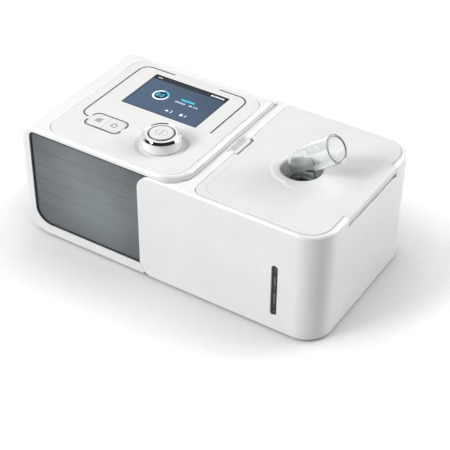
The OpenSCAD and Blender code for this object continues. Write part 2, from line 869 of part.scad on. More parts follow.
module dial_ring() at_body() color("#c9ccce") {
    translate([dial_x, dial_y, 0]) rotate_extrude()
        round_rect(dial_r - ring_w, dial_top_z - ring_h, dial_r, dial_top_z, [0, 0, 0.7, 0.7]);
}

module start_button() at_body() color(gloss_white) {
    cap_z = bush_top + start_travel + 0.3;
    translate([dial_x, dial_y, 0]) rotate_extrude()
        round_rect(0, cap_z, start_r, dial_top_z + 0.2, [0, 0, 0.8, 0]);
    rod_z(dial_x, dial_y, display_z + board_t + 2.2 + start_travel, cap_z + 0.5, stem_r);
}

module encoder() at_body() color(soft_grey) {
    difference() {
        union() {
            rod_z(dial_x, dial_y, display_z + board_t + 0.1, boss_under - 0.2, 8);
            rod_z(dial_x, dial_y, boss_under - 1, bush_top, bush_r);
        }
        rod_z(dial_x, dial_y, display_z + board_t + 1.6, bush_top + past, stem_r + fit);
    }
}

module main_board() at_body() color(board_green) {
    z = main_board_z + board_t;
    box(main_board_x0, main_board_x1, main_board_y0, main_board_y1, main_board_z, z);
    box(main_board_x0 + 6, main_board_x0 + 6 + chip_w, main_board_y0 + chip_w, main_board_y0 + 2 * chip_w,
        z - 0.5, z + chip_t);
    box(main_board_x0 + 4, main_board_x0 + 4 + 1.5 * chip_w, main_board_y1 - chip_w - chip_d,
        main_board_y1 - chip_w, z - 0.5, z + 3 * chip_t);
    for (i = [0 : 2])
        rod_z(main_board_x0 + 2 * can_r, main_board_y0 + 3 * chip_w + can_pitch * i,
            z - 0.5, z + can_h, can_r);
}

module silencer_box() at_body() color(black) {
    difference() {
        box(box_x0, box_x1, box_y0, box_y1, box_z0, box_z1);
        box(box_x0 + box_t, box_x1 - box_t, box_y0 + box_t, box_y1 - box_t, box_z0 + box_t, box_z1 - box_t);
        rod_z(blower_x, blower_y, box_z1 - 2 * box_t, box_z1 + past, eye_r);
        box(filter_x + 4, filter_x + filter_w - 4, box_y1 - 2 * box_t, box_y1 + past,
            filter_z + 4, filter_z + filter_h - 6);
    }
    difference() {
        rod_z(blower_x, blower_y, box_z1 - 0.5, blower_z0 - 0.3, eye_r + 2);
        rod_z(blower_x, blower_y, box_z1 - past, blower_z0, eye_r);
    }
    // Collar towards the filter
    difference() {
        box(filter_x + 2, filter_x + filter_w - 2, box_y1 - 0.5, filter_y - 1.2,
            filter_z + 2, filter_z + filter_h - 4);
        box(filter_x + 4, filter_x + filter_w - 4, box_y1 - past, filter_y,
            filter_z + 4, filter_z + filter_h - 6);
    }
}

module silencer_foam() at_body() color(soft_grey) {
    g = box_t + 0.3;
    difference() {
        box(box_x0 + g, box_x1 - g, box_y0 + g, box_y1 - g, box_z0 + g, box_z1 - g);
        rod_z(blower_x, blower_y, box_z0 + foam_floor, box_z1, eye_r + 2);
        box(filter_x + channel_from, filter_x + channel_from + channel_w, blower_y, box_y1,
            box_z0 + foam_floor, box_z1 - foam_floor);
    }
}

module blower_mounts() at_body() color(soft_grey) {
    for (a = [30, 150, 270]) translate([blower_x, blower_y, 0]) rotate([0, 0, a])
        rod_z(mount_out, 0, box_z1, blower_z0, mount_r);
}

// Blower housing: a drum with an eye in its floor and a nozzle that leaves it at a tangent
module blower_housing() {
    difference() {
        union() {
            rod_z(blower_x, blower_y, blower_z0, blower_z1, blower_r);
            rod_x(blower_x, nozzle_x, duct_y, duct_z, duct_r + blower_t);
        }
        rod_z(blower_x, blower_y, blower_z0 + blower_t, blower_z1 - blower_t, blower_r - blower_t);
        rod_x(blower_x, nozzle_x + past, duct_y, duct_z, duct_r);
        rod_z(blower_x, blower_y, blower_z0 - past, blower_z0 + 2 * blower_t, eye_r);
        rod_z(blower_x, blower_y, blower_z1 - 2 * blower_t, blower_z1 + past, shaft_r + 1.5);
    }
}

module blower_lower() at_body() color(black) {
    intersection() {
        blower_housing();
        box(0, nozzle_x + past, 0, body_d, 0, duct_z);
    }
}

module blower_upper() at_body() color(black) {
    intersection() {
        blower_housing();
        box(0, nozzle_x + past, 0, body_d, duct_z, deck_h);
    }
}

// Backward-curved blades: slices of thin rings whose centres lie round the hub
module impeller() at_body() color("#d8dadb") {
    z0 = blower_z0 + 7;
    z1 = duct_z + 6;
    arc_r = impeller_r * 0.62;
    blade_t = 0.9;
    tip_r = impeller_r - 0.4;
    translate([blower_x, blower_y, 0]) {
        difference() {
            union() {
                rod_z(0, 0, z1 - 1.6, z1, impeller_r);
                rod_z(0, 0, z0 + 2, z1 + 3, 5);
            }
            rod_z(0, 0, 0, deck_h, shaft_r);
        }
        for (i = [0 : blade_n - 1]) rotate([0, 0, i * 360 / blade_n]) intersection() {
            translate([arc_r, 0, z0]) difference() {
                cylinder(h = z1 - 1 - z0, r = arc_r);
                translate([0, 0, -past]) cylinder(h = z1 + past - z0, r = arc_r - blade_t);
            }
            difference() {
                rod_z(0, 0, z0, z1, tip_r);
                rod_z(0, 0, z0 - past, z1 + past, eye_r - 3);
            }
            translate([0, 0, z0]) cube([impeller_r * 2, impeller_r * 2, z1 - z0]);
        }
    }
}

module motor_shaft() at_body() color("#b9bcbf") {
    rod_z(blower_x, blower_y, blower_z0 + 10, motor_z1 - 0.3, shaft_r);
}

module motor_bearings() at_body() color("#b9bcbf") {
    for (z = [motor_z0 + 0.3, motor_z1 - bearing_h - 0.3]) difference() {
        rod_z(blower_x, blower_y, z, z + bearing_h, bearing_r);
        rod_z(blower_x, blower_y, z - past, z + bearing_h + past, shaft_r + fit);
    }
}

module blower_motor() at_body() color("#8f9396") {
    difference() {
        translate([blower_x, blower_y, 0]) rotate_extrude()
            round_rect(0, motor_z0, motor_r, motor_z1, [0, 0, 2, 0]);
        rod_z(blower_x, blower_y, motor_z0 - past, motor_z1 + past, bearing_r);
    }
}

module air_duct() at_body() color(soft_grey) {
    difference() {
        union() {
            rod_x(nozzle_x + 0.2, main_w, duct_y, duct_z, duct_r + duct_t);
            for (i = [0 : rib_n - 1]) {
                x = nozzle_x + 10 + 2 * rib_w * i;
                rod_x(x, x + rib_w, duct_y, duct_z, duct_r + duct_t + rib_h);
            }
        }
        rod_x(nozzle_x, main_w + past, duct_y, duct_z, duct_r);
    }
}

module rubber_feet() at_body() color(black) {
    for (x = [foot_left, main_w - foot_right], y = [foot_end, body_d - foot_end])
        rod_z(x, y, -foot_h, 0, rubber_r);
    for (x = [hum_x0 + hum_foot_left, body_w - hum_foot_right], y = [hum_foot_end, body_d - hum_foot_end])
        rod_z(x, y, -foot_h, hum_z0, rubber_r);
}

module casing_screws() at_body() color("#b9bcbf") {
    for (p = post_places) difference() {
        union() {
            rod_z(p[0], p[1], 0.2, screw_head_t, screw_head_r);
            rod_z(p[0], p[1], screw_head_t - 0.5, screw_len, screw_r);
        }
        for (a = [0, 90]) translate([p[0], p[1], 0]) rotate([0, 0, a]) box(-1.6, 1.6, -0.35, 0.35, 0, 1.1);
    }
}

// Plan of the lid, grown by o
module lid_plan(o) {
    round_rect(lid_x0 - o, lid_y0 - o, lid_x1 + o, lid_y1 + o,
        [lid_left_r + o, lid_right_r + o, lid_right_r + o, lid_left_r + o]);
}

module humidifier_outside() {
    intersection() {
        difference() {
            slab(wing_x - 30, 0, body_w, body_d, hum_z0, lid_h, hum_edge_r + past, hum_corner_r, hum_edge_r);
            translate([0, 0, -past]) linear_extrude(deck_h) main_plan(dock_gap);
            box(0, tip_x, notch_y - dock_gap, body_d + past, -past, deck_h);
        }
        along_y(-past, body_d + past) wing_outline(0);
    }
}

module humidifier_shell() at_body() color(gloss_white) {
    difference() {
        humidifier_outside();
        translate([0, 0, -past]) linear_extrude(hum_in_top + past)
            round_rect(hum_in_x0, wall, hum_in_x1, body_d - wall,
                [2, hum_corner_r - wall, hum_corner_r - wall, 2]);
        intersection() {
            along_y(wall, wing_t - wall) wing_outline(-wall);
            box(0, hum_in_x0 + past, 0, wing_t, -past, hum_in_top);
        }
        box(wing_x + wing_bottom_r, hum_in_x0 + past, wall, wing_t - wall, -past, 2 * wall);
        translate([0, 0, ledge_z1]) linear_extrude(deck_h) lid_plan(lid_gap);
        box(axis_x - 3.6, body_w + past, skirt_y0 - clear, skirt_y1 + clear, slit_z, deck_h);
        along_y(-past, wall + past) window_outline(0);
        rod_x(hum_x0 - past, hum_in_x0 + past, duct_y, duct_z, duct_r + duct_t + 0.4);
        latch_pocket();
        hinge_hole();
    }
    // Ledge under the lid
    difference() {
        translate([0, 0, ledge_z0]) linear_extrude(ledge_z1 - ledge_z0) difference() {
            round_rect(hum_in_x0 - 0.5, wall - 0.5, hum_in_x1 + 0.5, body_d - wall + 0.5,
                [2, hum_corner_r - wall, hum_corner_r - wall, 2]);
            round_rect(tank_x0 - 0.8, tank_y0 - 0.8, tank_x1 + 0.8, tank_y1 + 0.8,
                [for (i = [0 : 3]) tank_r]);
        }
        box(axis_x - 3.6, body_w, skirt_y0 - clear, skirt_y1 + clear, 0, deck_h);
        latch_pocket();
        hinge_hole();
    }
    for (p = hum_posts) difference() {
        rod_z(p[0], p[1], hum_z0 + base_t + 0.1, hum_screw_top + 4, hum_post_r);
        rod_z(p[0], p[1], 0, hum_screw_top + 0.5, hum_screw_r);
    }
    // Round shoulders at both ends of the skirt that the lid rolls over
    for (y = [[lid_right_r + 4, skirt_y0 - clear], [skirt_y1 + clear, body_d - lid_right_r - 4]])
        difference() {
            rod_y(y[0], y[1], axis_x, axis_z, roll_r);
            box(body_w - 0.5, body_w + 10, 0, body_d, 0, deck_h + past);
            box(axis_x, body_w, 0, body_d, axis_z, deck_h);
            hinge_hole();
        }
}

module window_outline(o) {
    r = window_w / 2 - o;
    round_rect(window_x + o, window_z0 + o, window_x + window_w - o, window_z1 - o, [r, r, r, r]);
}

module hinge_hole() {
    rod_y(skirt_y0 - 8, skirt_y1 + 8, axis_x, axis_z, pin_r);
}

module latch_pocket() {
    box(latch_x0 - clear, lid_x0 + 5, latch_y - latch_l / 2 - latch_side, latch_y + latch_l / 2 + latch_side,
        lid_under - 12, deck_h);
}

module level_window() at_body() color("#6d767b") {
    along_y(0.9, wall - 0.2) window_outline(0.1);
}

module humidifier_base() at_body() color(warm_white) {
    top = hum_z0 + base_t;
    translate([0, 0, hum_z0]) linear_extrude(base_t) difference() {
        round_rect(hum_in_x0 + 0.2, wall + 0.2, hum_in_x1 - 0.2, body_d - wall - 0.2,
            [2, hum_corner_r - wall, hum_corner_r - wall, 2]);
        for (i = [0 : hum_slot_n - 1])
            translate([heater_x + hum_slot_pitch * (i - (hum_slot_n - 1) / 2), mid_y - hum_slot_l / 2])
                square([2.4, hum_slot_l]);
        for (p = hum_posts) translate([p[0], p[1]]) circle(hum_screw_r + 0.3);
    }
    box(wing_x + wing_bottom_r + 0.2, hum_in_x0 + 0.7, wall + 0.2, wing_t - wall - 0.2, hum_z0, top);
    difference() {
        rod_z(heater_x, mid_y, top - 0.5, tank_z0 - 0.1, heater_r + 3.5);
        rod_z(heater_x, mid_y, top - past, tank_z0 + past, heater_r + 1.5);
    }
}

module humidifier_screws() at_body() color("#b9bcbf") {
    for (p = hum_posts) difference() {
        union() {
            rod_z(p[0], p[1], hum_z0 - 0.6, hum_z0, 2.6);
            rod_z(p[0], p[1], hum_z0 - 0.3, hum_screw_top, hum_screw_r);
        }
        for (a = [0, 90]) translate([p[0], p[1], 0]) rotate([0, 0, a])
            box(-1.4, 1.4, -0.3, 0.3, -past, hum_z0 - 0.2);
    }
}

module heater_mounts() at_body() color(soft_grey) {
    for (a = [0, 120, 240]) translate([heater_x, mid_y, 0]) rotate([0, 0, a])
        rod_z(heater_r - 5, 0, hum_z0 + base_t, heater_z, 2.2);
}

module heater_plate() at_body() color("#b4b8bb") {
    difference() {
        rod_z(heater_x, mid_y, heater_z, heater_z + heater_t, heater_r);
        rod_z(heater_x, mid_y, heater_z - past, heater_z + heater_t - 1.4, heater_r - 9);
    }
}

module tank_plate() at_body() color("#c3c7ca") {
    rod_z(heater_x, mid_y, heater_z + heater_t + 0.2, tank_z0, heater_r - 1);
}

module tank_outline(o) {
    round_rect(tank_x0 + o, tank_y0 + o, tank_x1 - o, tank_y1 - o, [for (i = [0 : 3]) tank_r - o]);
}

module water_tank() at_body() color("#cfdde3", 0.5) {
    difference() {
        translate([0, 0, tank_z0]) linear_extrude(tank_z1 - tank_z0) tank_outline(0);
        translate([0, 0, tank_z0 + tank_t]) linear_extrude(tank_z1) tank_outline(tank_t);
        rod_x(tank_x0 - past, tank_x0 + tank_t + past, duct_y, duct_z, duct_r);
    }
}

module inlet_duct() at_body() color(soft_grey) {
    difference() {
        union() {
            rod_x(main_w + 0.2, tank_x0 - 0.2, duct_y, duct_z, duct_r + duct_t);
            rod_x(hum_in_x0 + 0.2, hum_in_x0 + 2.4, duct_y, duct_z, duct_r + duct_t + 2.5);
        }
        rod_x(main_w, tank_x0, duct_y, duct_z, duct_r);
    }
}

// Lid plate: its edge is upright at the top and falls away below, so that it can roll open
module lid_plate() {
    low = lid_h - land;
    drop = low - lid_under;
    translate([0, 0, low - 0.01]) linear_extrude(land + 0.01) lid_plan(0);
    lid_skirt_edge(low, drop);
}

// Solid that carries the lid's outline down with a slanted edge
module lid_skirt_edge(low, drop) {
    x0 = lid_x0;
    x1 = lid_x1;
    y0 = lid_y0;
    y1 = lid_y1;
    rl = lid_left_r;
    rr = lid_right_r;
    along_x(x0 + rl, x1 - rr)
        polygon([[y0 + drop, lid_under], [y1 - drop, lid_under], [y1, low], [y0, low]]);
    along_y(y0 + rl, y1 - rl)
        polygon([[x0 + drop, lid_under], [x0 + rl + past, lid_under], [x0 + rl + past, low], [x0, low]]);
    along_y(y0 + rr, y1 - rr)
        polygon([[x1 - rr - past, lid_under], [x1 - drop, lid_under], [x1, low], [x1 - rr - past, low]]);
    for (p = [[x0 + rl, y0 + rl, rl], [x0 + rl, y1 - rl, rl], [x1 - rr, y0 + rr, rr], [x1 - rr, y1 - rr, rr]])
        translate([p[0], p[1], lid_under]) cylinder(h = drop, r1 = p[2] - drop, r2 = p[2]);
}

// Sunken field in the lid's front: level in front of the well, rising beside it until it runs out
module lid_field() {
    x0 = lid_x0 + field_in;
    x1 = lid_x1 - field_in;
    y0 = lid_y0 + field_in;
    y1 = mid_y - field_r;
    floor_z = lid_h - field_depth;
    intersection() {
        along_x(x0, x1)
            polygon([[y0, floor_z], [y1, floor_z], [y1 + field_fade, lid_h], [y1 + field_fade, lid_h + past],
                [y0, lid_h + past]]);
        translate([0, 0, floor_z - past]) linear_extrude(field_depth + 3 * past) difference() {
            union() {
                round_rect(x0, y0, x1, y1, [lid_left_r - field_in, lid_right_r - field_in, field_corner, 0]);
                translate([x0, y1 - past]) square([outlet_x - x0, field_fade + 2 * past]);
            }
            translate([outlet_x, mid_y]) circle(field_r);
        }
    }
}

module lid() at_body() color(gloss_white) {
    difference() {
        union() {
            lid_plate();
            // Part that wraps over the right side and holds the hinge barrel
            along_y(skirt_y0, skirt_y1) {
                round_rect(lid_x1 - 6, lid_under, body_w, lid_h, [0, 0, hum_edge_r - 0.01, 0]);
                translate([axis_x - barrel_r, axis_z]) square([2 * barrel_r, lid_under - axis_z + 0.5]);
                translate([axis_x, axis_z]) circle(barrel_r);
            }
        }
        for (y = [[-past, skirt_y0 - 0.01], [skirt_y1 + 0.01, body_d + past]])
            rod_y(y[0], y[1], axis_x, axis_z, roll_in_r);
        rod_y(skirt_y0 - past, skirt_y1 + past, axis_x, axis_z, pin_r + fit);
        rod_z(outlet_x, mid_y, lid_under - past, deck_h, well_r);
        lid_field();
        box(lid_x0 - past, latch_x1 + latch_travel + 0.2, latch_y - latch_l / 2 - latch_side,
            latch_y + latch_l / 2 + latch_side, lid_under - past, deck_h);
    }
    // Rails that the latch slides in
    for (s = [-1, 1]) {
        y = latch_y + s * (latch_l / 2 - foot_in + clear + rail_t / 2);
        box(latch_x1 + latch_travel + 0.8, foot_x1 + latch_travel + 1, y - rail_t / 2, y + rail_t / 2,
            foot_z1 - foot_t - 0.3 - lip_t, lid_under + 0.5);
        lip_y = y - s * 1.2;
        box(latch_x1 + latch_travel + 0.8, foot_x1 + latch_travel + 1, lip_y - 1.6, lip_y + 1.6,
            foot_z1 - foot_t - 0.3 - lip_t, foot_z1 - foot_t - 0.3);
    }
}

module lid_seal() at_body() color(soft_grey) {
    translate([0, 0, tank_z1 + 0.3]) linear_extrude(lid_under - tank_z1 - 0.4) difference() {
        tank_outline(0.2);
        tank_outline(seal_w);
        translate([0, latch_y - latch_l / 2 - 1]) square([foot_x1 + latch_travel + 2, latch_l + 2]);
    }
}

module hinge_pin() at_body() color("#b9bcbf") {
    rod_y(skirt_y0 - 8 + 0.2, skirt_y1 + 8 - 0.2, axis_x, axis_z, pin_r);
}

module latch() at_body() color(warm_white) {
    top = lid_h - 0.1;
    difference() {
        box(latch_x0, latch_x1, latch_y - latch_l / 2, latch_y + latch_l / 2, lid_under - 0.4, top);
        box(latch_x0 + 1, latch_x1 - 1, latch_y - latch_l / 2 + 2, latch_y + latch_l / 2 - 2,
            top - 1.2, top + past);
    }
    box(latch_x1 - 4, latch_x1, latch_y - latch_l / 2 + foot_in, latch_y + latch_l / 2 - foot_in,
        foot_z1 - foot_t, lid_under);
    box(latch_x1 - 4, foot_x1, latch_y - latch_l / 2 + foot_in, latch_y + latch_l / 2 - foot_in,
        foot_z1 - foot_t, foot_z1);
}

module outlet_socket() at_body() color(black) {
    difference() {
        union() {
            rod_z(outlet_x, mid_y, cup_floor - cup_floor_t, lid_under, well_r + cup_t);
            rod_z(outlet_x, mid_y, sleeve_z, cup_floor, cuff_r + sleeve_t);
        }
        rod_z(outlet_x, mid_y, cup_floor, lid_h, well_r);
        rod_z(outlet_x, mid_y, sleeve_z - past, lid_h, cuff_r + fit);
        rod_z(outlet_x, mid_y, seal_z, seal_z + seal_h, cuff_r + seal_t + 0.2);
    }
}

module elbow_seal() at_body() color("#b5402f") {
    difference() {
        rod_z(outlet_x, mid_y, seal_z + 0.1, seal_z + seal_h - 0.1, cuff_r + seal_t);
        rod_z(outlet_x, mid_y, seal_z, seal_z + seal_h, cuff_r + 0.1);
    }
}

// Riser, ball-shaped bend and slanted arm, bored through
module elbow() at_body() color("#dfe6e9", 0.5) {
    translate([outlet_x, mid_y, 0]) difference() {
        union() {
            rod_z(0, 0, sleeve_z + 0.4, cup_floor + 1, cuff_r);
            rod_z(0, 0, cup_floor + 0.3, cup_floor + 0.3 + collar_t, collar_r);
            rod_z(0, 0, cup_floor, bend_z, bend_r);
            translate([0, 0, bend_z]) {
                sphere(bend_r + ball);
                rotate([0, 90 - arm_angle, 0]) {
                    cylinder(h = arm_len - 1, r = bend_r);
                    translate([0, 0, arm_len - cuff_len]) cylinder(h = cuff_len, r = cuff_r);
                }
            }
        }
        rod_z(0, 0, sleeve_z - past, bend_z, bore_r);
        translate([0, 0, bend_z]) {
            sphere(bore_r + ball);
            rotate([0, 90 - arm_angle, 0]) cylinder(h = arm_len + past, r = bore_r);
        }
    }
}

lower_casing();
upper_casing();
front_frame();
front_panel();
rear_panel();
filter_cover();
air_filter();
power_inlet();
control_plate();
screen_glass();
lcd_module();
display_board();
ramp_button();
home_button();
button_pad();
dial();
dial_ring();
start_button();
encoder();
main_board();
silencer_box();
silencer_foam();
blower_mounts();
blower_lower();
blower_upper();
impeller();
motor_shaft();
motor_bearings();
blower_motor();
air_duct();
rubber_feet();
casing_screws();
humidifier_shell();
humidifier_base();
humidifier_screws();
heater_mounts();
heater_plate();
tank_plate();
water_tank();
level_window();
inlet_duct();
lid();
lid_seal();
hinge_pin();
latch();
outlet_socket();
elbow_seal();
elbow();
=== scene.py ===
"""Bilevel breathing machine with a docked humidifier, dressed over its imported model.

Shapes are written in millimetres from the front left bottom corner of the casing: x to the right,
y to the back, z up. place() carries them into the row's frame, in metres. An outline is a pair of
points (n, 2) and outward normals, and a shape is a pair of points (n, 3) and faces.
"""
import math

import bmesh
import bpy
import numpy as np
from mathutils import Matrix, Vector


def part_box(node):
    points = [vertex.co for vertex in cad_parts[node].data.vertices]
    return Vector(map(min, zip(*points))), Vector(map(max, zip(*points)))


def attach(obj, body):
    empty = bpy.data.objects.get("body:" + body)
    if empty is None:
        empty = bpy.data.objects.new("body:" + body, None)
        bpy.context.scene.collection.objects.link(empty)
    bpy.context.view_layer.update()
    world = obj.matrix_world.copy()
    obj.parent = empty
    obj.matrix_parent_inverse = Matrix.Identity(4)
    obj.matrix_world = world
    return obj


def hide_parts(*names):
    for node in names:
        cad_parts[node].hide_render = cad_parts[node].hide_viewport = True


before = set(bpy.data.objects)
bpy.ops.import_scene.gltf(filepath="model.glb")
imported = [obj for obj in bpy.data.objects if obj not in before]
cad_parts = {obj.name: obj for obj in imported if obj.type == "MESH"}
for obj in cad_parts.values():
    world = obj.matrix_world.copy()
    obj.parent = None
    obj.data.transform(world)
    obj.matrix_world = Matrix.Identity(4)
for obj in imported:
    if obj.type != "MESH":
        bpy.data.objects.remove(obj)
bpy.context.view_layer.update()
SCENE = bpy.context.scene

# Casing: its width and depth, the height of the deck and of the lid, the main unit's width
BODY_W, BODY_D, DECK_H, LID_H, MAIN_W = 266.0, 145.0, 100.0, 95.0, 146.5
# Wall of the casings, height of the feet
WALL, FOOT_H = 2.5, 1.5
# Middle of the casing's plan, on the ground
ORIGIN = np.array([BODY_W / 2, BODY_D / 2, -FOOT_H])
MID_Y = BODY_D / 2
# Joints behind the bezel and between the lower and the upper casing
SEAM_Y, SPLIT_Z = 3.0, 22.0
# Left end of the humidifier's wing, lower and upper end of its level window
WING_X, W_LOW, W_HIGH = 109.3, 14.0, 60.4
# Well in the lid, round the elbow
WELL, WELL_R = np.array([207.5, MID_Y]), 16.0
# Points of an arc: about one for each step of its length, but no fewer and no more than these
ARC_STEP, ARC_LEAST, ARC_MOST = 0.9, 3, 40
# Points nearer than this, in metres, are one
MERGE = 2e-6


def place(points):
    """Casing millimetres to the row's frame in metres."""
    return (np.asarray(points, float) - ORIGIN) / 1000.0


def corner_box(node):
    """Lowest and highest corner of a CAD node, in casing millimetres."""
    low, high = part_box(node)
    return np.array(low) * 1000 + ORIGIN, np.array(high) * 1000 + ORIGIN


# Outlines

def arc_points(start, heading, radius, turn, count):
    """Points and outward normals along an arc that leaves start along heading (a unit vector) and
    turns by turn radians: centre = start + side * radius, each point the start turned about it."""
    side = np.array([-heading[1], heading[0]]) * np.sign(turn)
    centre = start + side * radius
    a = np.linspace(0, turn, count)
    c, s = np.cos(a), np.sin(a)
    arm = start - centre
    points = centre + np.stack([arm[0] * c - arm[1] * s, arm[0] * s + arm[1] * c], 1)
    normals = np.stack([heading[0] * s + heading[1] * c, heading[1] * s - heading[0] * c], 1)
    return points, normals


def rounded(corners, step=None):
    """Closed outline, anticlockwise, from corners (x, y, radius): every corner is an arc tangent to
    its two sides, or with radius 0 a single point whose normal is the mitre of both. With step the
    sides get a point about every step millimetres, with normals blended between their two ends."""
    c = np.array([k[:2] for k in corners], float)
    n = len(c)
    parts, norms = [], []
    for i in range(n):
        r = corners[i][2]
        d1, d2 = c[i] - c[i - 1], c[(i + 1) % n] - c[i]
        d1, d2 = d1 / np.linalg.norm(d1), d2 / np.linalg.norm(d2)
        if r == 0:
            across = np.array([d1[1] + d2[1], -d1[0] - d2[0]])
            parts.append(c[i][None])
            norms.append((across * 2 / (across @ across))[None])
            continue
        turn = math.atan2(d1[0] * d2[1] - d1[1] * d2[0], float(d1 @ d2))
        start = c[i] - d1 * r * math.tan(abs(turn) / 2)
        count = int(np.clip(math.ceil(abs(turn) * (r + 1.5) / ARC_STEP), ARC_LEAST, ARC_MOST))
        p, m = arc_points(start, d1, r, turn, count)
        parts.append(p)
        norms.append(m)
    if step is None:
        return np.concatenate(parts), np.concatenate(norms)
    points, normals = [], []
    for i in range(n):
        a, b = parts[i][-1], parts[(i + 1) % n][0]
        k = int(np.linalg.norm(b - a) // step)
        t = (np.arange(1, k + 1) / (k + 1))[:, None]
        points += [parts[i], a + (b - a) * t]
        normals += [norms[i], norms[i][-1] * (1 - t) + norms[(i + 1) % n][0] * t]
    return np.concatenate(points), np.concatenate(normals)


def box_outline(x0, y0, x1, y1, radii):
    """Rectangle with rounded corners: one radius for all, or four, anticlockwise from (x0, y0)."""
    r = np.broadcast_to(radii, 4)
    return rounded([(x0, y0, r[0]), (x1, y0, r[1]), (x1, y1, r[2]), (x0, y1, r[3])])


def flat_outline(points):
    """Outline that stacked() carries without moving it inwards."""
    points = np.array(points, float)
    return points, np.zeros_like(points)


def circle_part(centre, radius, start, end, count=14):
    """Points of a circle between two angles in degrees."""
    a = np.radians(np.linspace(start, end, count))
    return np.stack([centre[0] + radius * np.cos(a), centre[1] + radius * np.sin(a)], 1)


def bow(radius, start, end, count):
    """Points round the origin, radius away, between two angles in radians."""
    a = np.linspace(start, end, count)
    return radius * np.stack([np.cos(a), np.sin(a)], 1)


def open_path(corners):
    """Open line through corners (x, y, radius): straight pieces joined by tangent arcs."""
    c = np.array([k[:2] for k in corners], float)
    out = [c[:1]]
    for i in range(1, len(c) - 1):
        d1, d2 = c[i] - c[i - 1], c[i + 1] - c[i]
        d1, d2 = d1 / np.linalg.norm(d1), d2 / np.linalg.norm(d2)
        turn = math.atan2(d1[0] * d2[1] - d1[1] * d2[0], float(d1 @ d2))
        r = corners[i][2]
        out.append(arc_points(c[i] - d1 * r * math.tan(abs(turn) / 2), d1, r, turn, 14)[0])
    out.append(c[-1:])
    return np.concatenate(out)


def smooth(t):
    """Soft step from 0 to 1: 3t^2 - 2t^3."""
    t = np.clip(t, 0, 1)
    return t * t * (3 - 2 * t)


def quarter(inset, height, radius, count=5):
    """Rows (inset, height) of a rounded top edge: a quarter circle that starts upright at inset,
    radius below height, and ends level at height."""
    a = np.linspace(0, math.pi / 2, count)
    return np.stack([inset + radius * (1 - np.cos(a)), height - radius * (1 - np.sin(a))], 1).tolist()


# Shapes

def grid_faces(rows, cols, closed_rows=False):
    """Quads of a grid of rows x cols points, stored row by row, whose columns close on themselves."""
    r = np.arange(rows if closed_rows else rows - 1)
    rr, cc = np.meshgrid(r, np.arange(cols), indexing="ij")
    r2, c2 = (rr + 1) % rows, (cc + 1) % cols
    return np.stack([rr * cols + cc, rr * cols + c2, r2 * cols + c2, r2 * cols + cc], -1).reshape(-1, 4)


def lofted(sections):
    """Shape through closed sections (m, n, 3), its two ends closed by flat faces."""
    s = np.asarray(sections, float)
    m, n = s.shape[:2]
    faces = grid_faces(m, n).tolist()
    faces += [list(range(n))[::-1], list(range((m - 1) * n, m * n))]
    return s.reshape(-1, 3), faces


def stacked(outline, rows, axis="z"):
    """Shape from one outline: for each row (inset, height), the outline moved inwards by inset
    along its normals, at that height. First and last row are closed by flat faces. Axis "z" draws
    in x and y and rises along z, "y" draws in x and z, "x" draws in y and z."""
    points, normals = outline
    rows = np.array(rows, float)
    ring = points[None] - normals[None] * rows[:, None, :1]
    height = np.broadcast_to(rows[:, None, 1:], ring.shape[:2] + (1,))
    order = {"z": (0, 1, 2), "y": (0, 2, 1), "x": (2, 0, 1)}[axis]
    return lofted(np.concatenate([ring, height], 2)[..., order])


def prism(outline, low, high, axis="z"):
    """Shape with upright sides from one outline, between two heights."""
    return stacked(outline, [(0, low), (0, high)], axis)


def turned_solid(profile, centre, count=96, closed=False):
    """Lathe: the profile (radius, z) turned about an upright axis at centre. A closed profile makes
    a ring, an open one starts and ends on the axis."""
    prof = np.array(profile, float)
    a = np.linspace(0, 2 * math.pi, count, endpoint=False)
    x = centre[0] + prof[:, :1] * np.cos(a)
    y = centre[1] + prof[:, :1] * np.sin(a)
    z = np.repeat(prof[:, 1:], count, 1)
    return np.stack([x, y, z], 2).reshape(-1, 3), grid_faces(len(prof), count, closed).tolist()


def strip(path, half, z0, z1, closed=False):
    """Ribbon of a line drawn on a level face: at each path point (x, y) the section is a box of
    width 2 half from z0 to z1, turned square to the path by its central difference."""
    p = np.array(path, float)
    d = np.roll(p, -1, 0) - np.roll(p, 1, 0)
    if not closed:
        d[0], d[-1] = p[1] - p[0], p[-1] - p[-2]
    side = np.stack([d[:, 1], -d[:, 0]], 1)
    side = side / np.linalg.norm(side, axis=1, keepdims=True) * half
    ring = np.stack([p - side, p + side, p + side, p - side], 1)
    z = np.broadcast_to(np.array([z0, z0, z1, z1])[None, :, None], ring.shape[:2] + (1,))
    sections = np.concatenate([ring, z], 2)
    if closed:
        return sections.reshape(-1, 3), grid_faces(len(p), 4, True).tolist()
    return lofted(sections)


def combined(*shapes):
    """Several shapes as one list of points and faces."""
    verts, faces, base = [], [], 0
    for v, f in shapes:
        verts.append(v)
        faces += [[i + base for i in face] for face in f]
        base += len(v)
    return np.concatenate(verts), faces


# Pieces

def solid(name, shape):
    """Mesh object of a shape, in metres: doubles merged, faces outwards."""
    verts, faces = shape
    mesh = bpy.data.meshes.new(name)
    mesh.from_pydata(place(verts).tolist(), [], faces)
    bm = bmesh.new()
    bm.from_mesh(mesh)
    bmesh.ops.remove_doubles(bm, verts=bm.verts, dist=MERGE)
    bmesh.ops.dissolve_degenerate(bm, edges=bm.edges, dist=MERGE / 2)
    bmesh.ops.recalc_face_normals(bm, faces=bm.faces)
    bm.to_mesh(mesh)
    bm.free()
    obj = bpy.data.objects.new(name, mesh)
    SCENE.collection.objects.link(obj)
    return obj


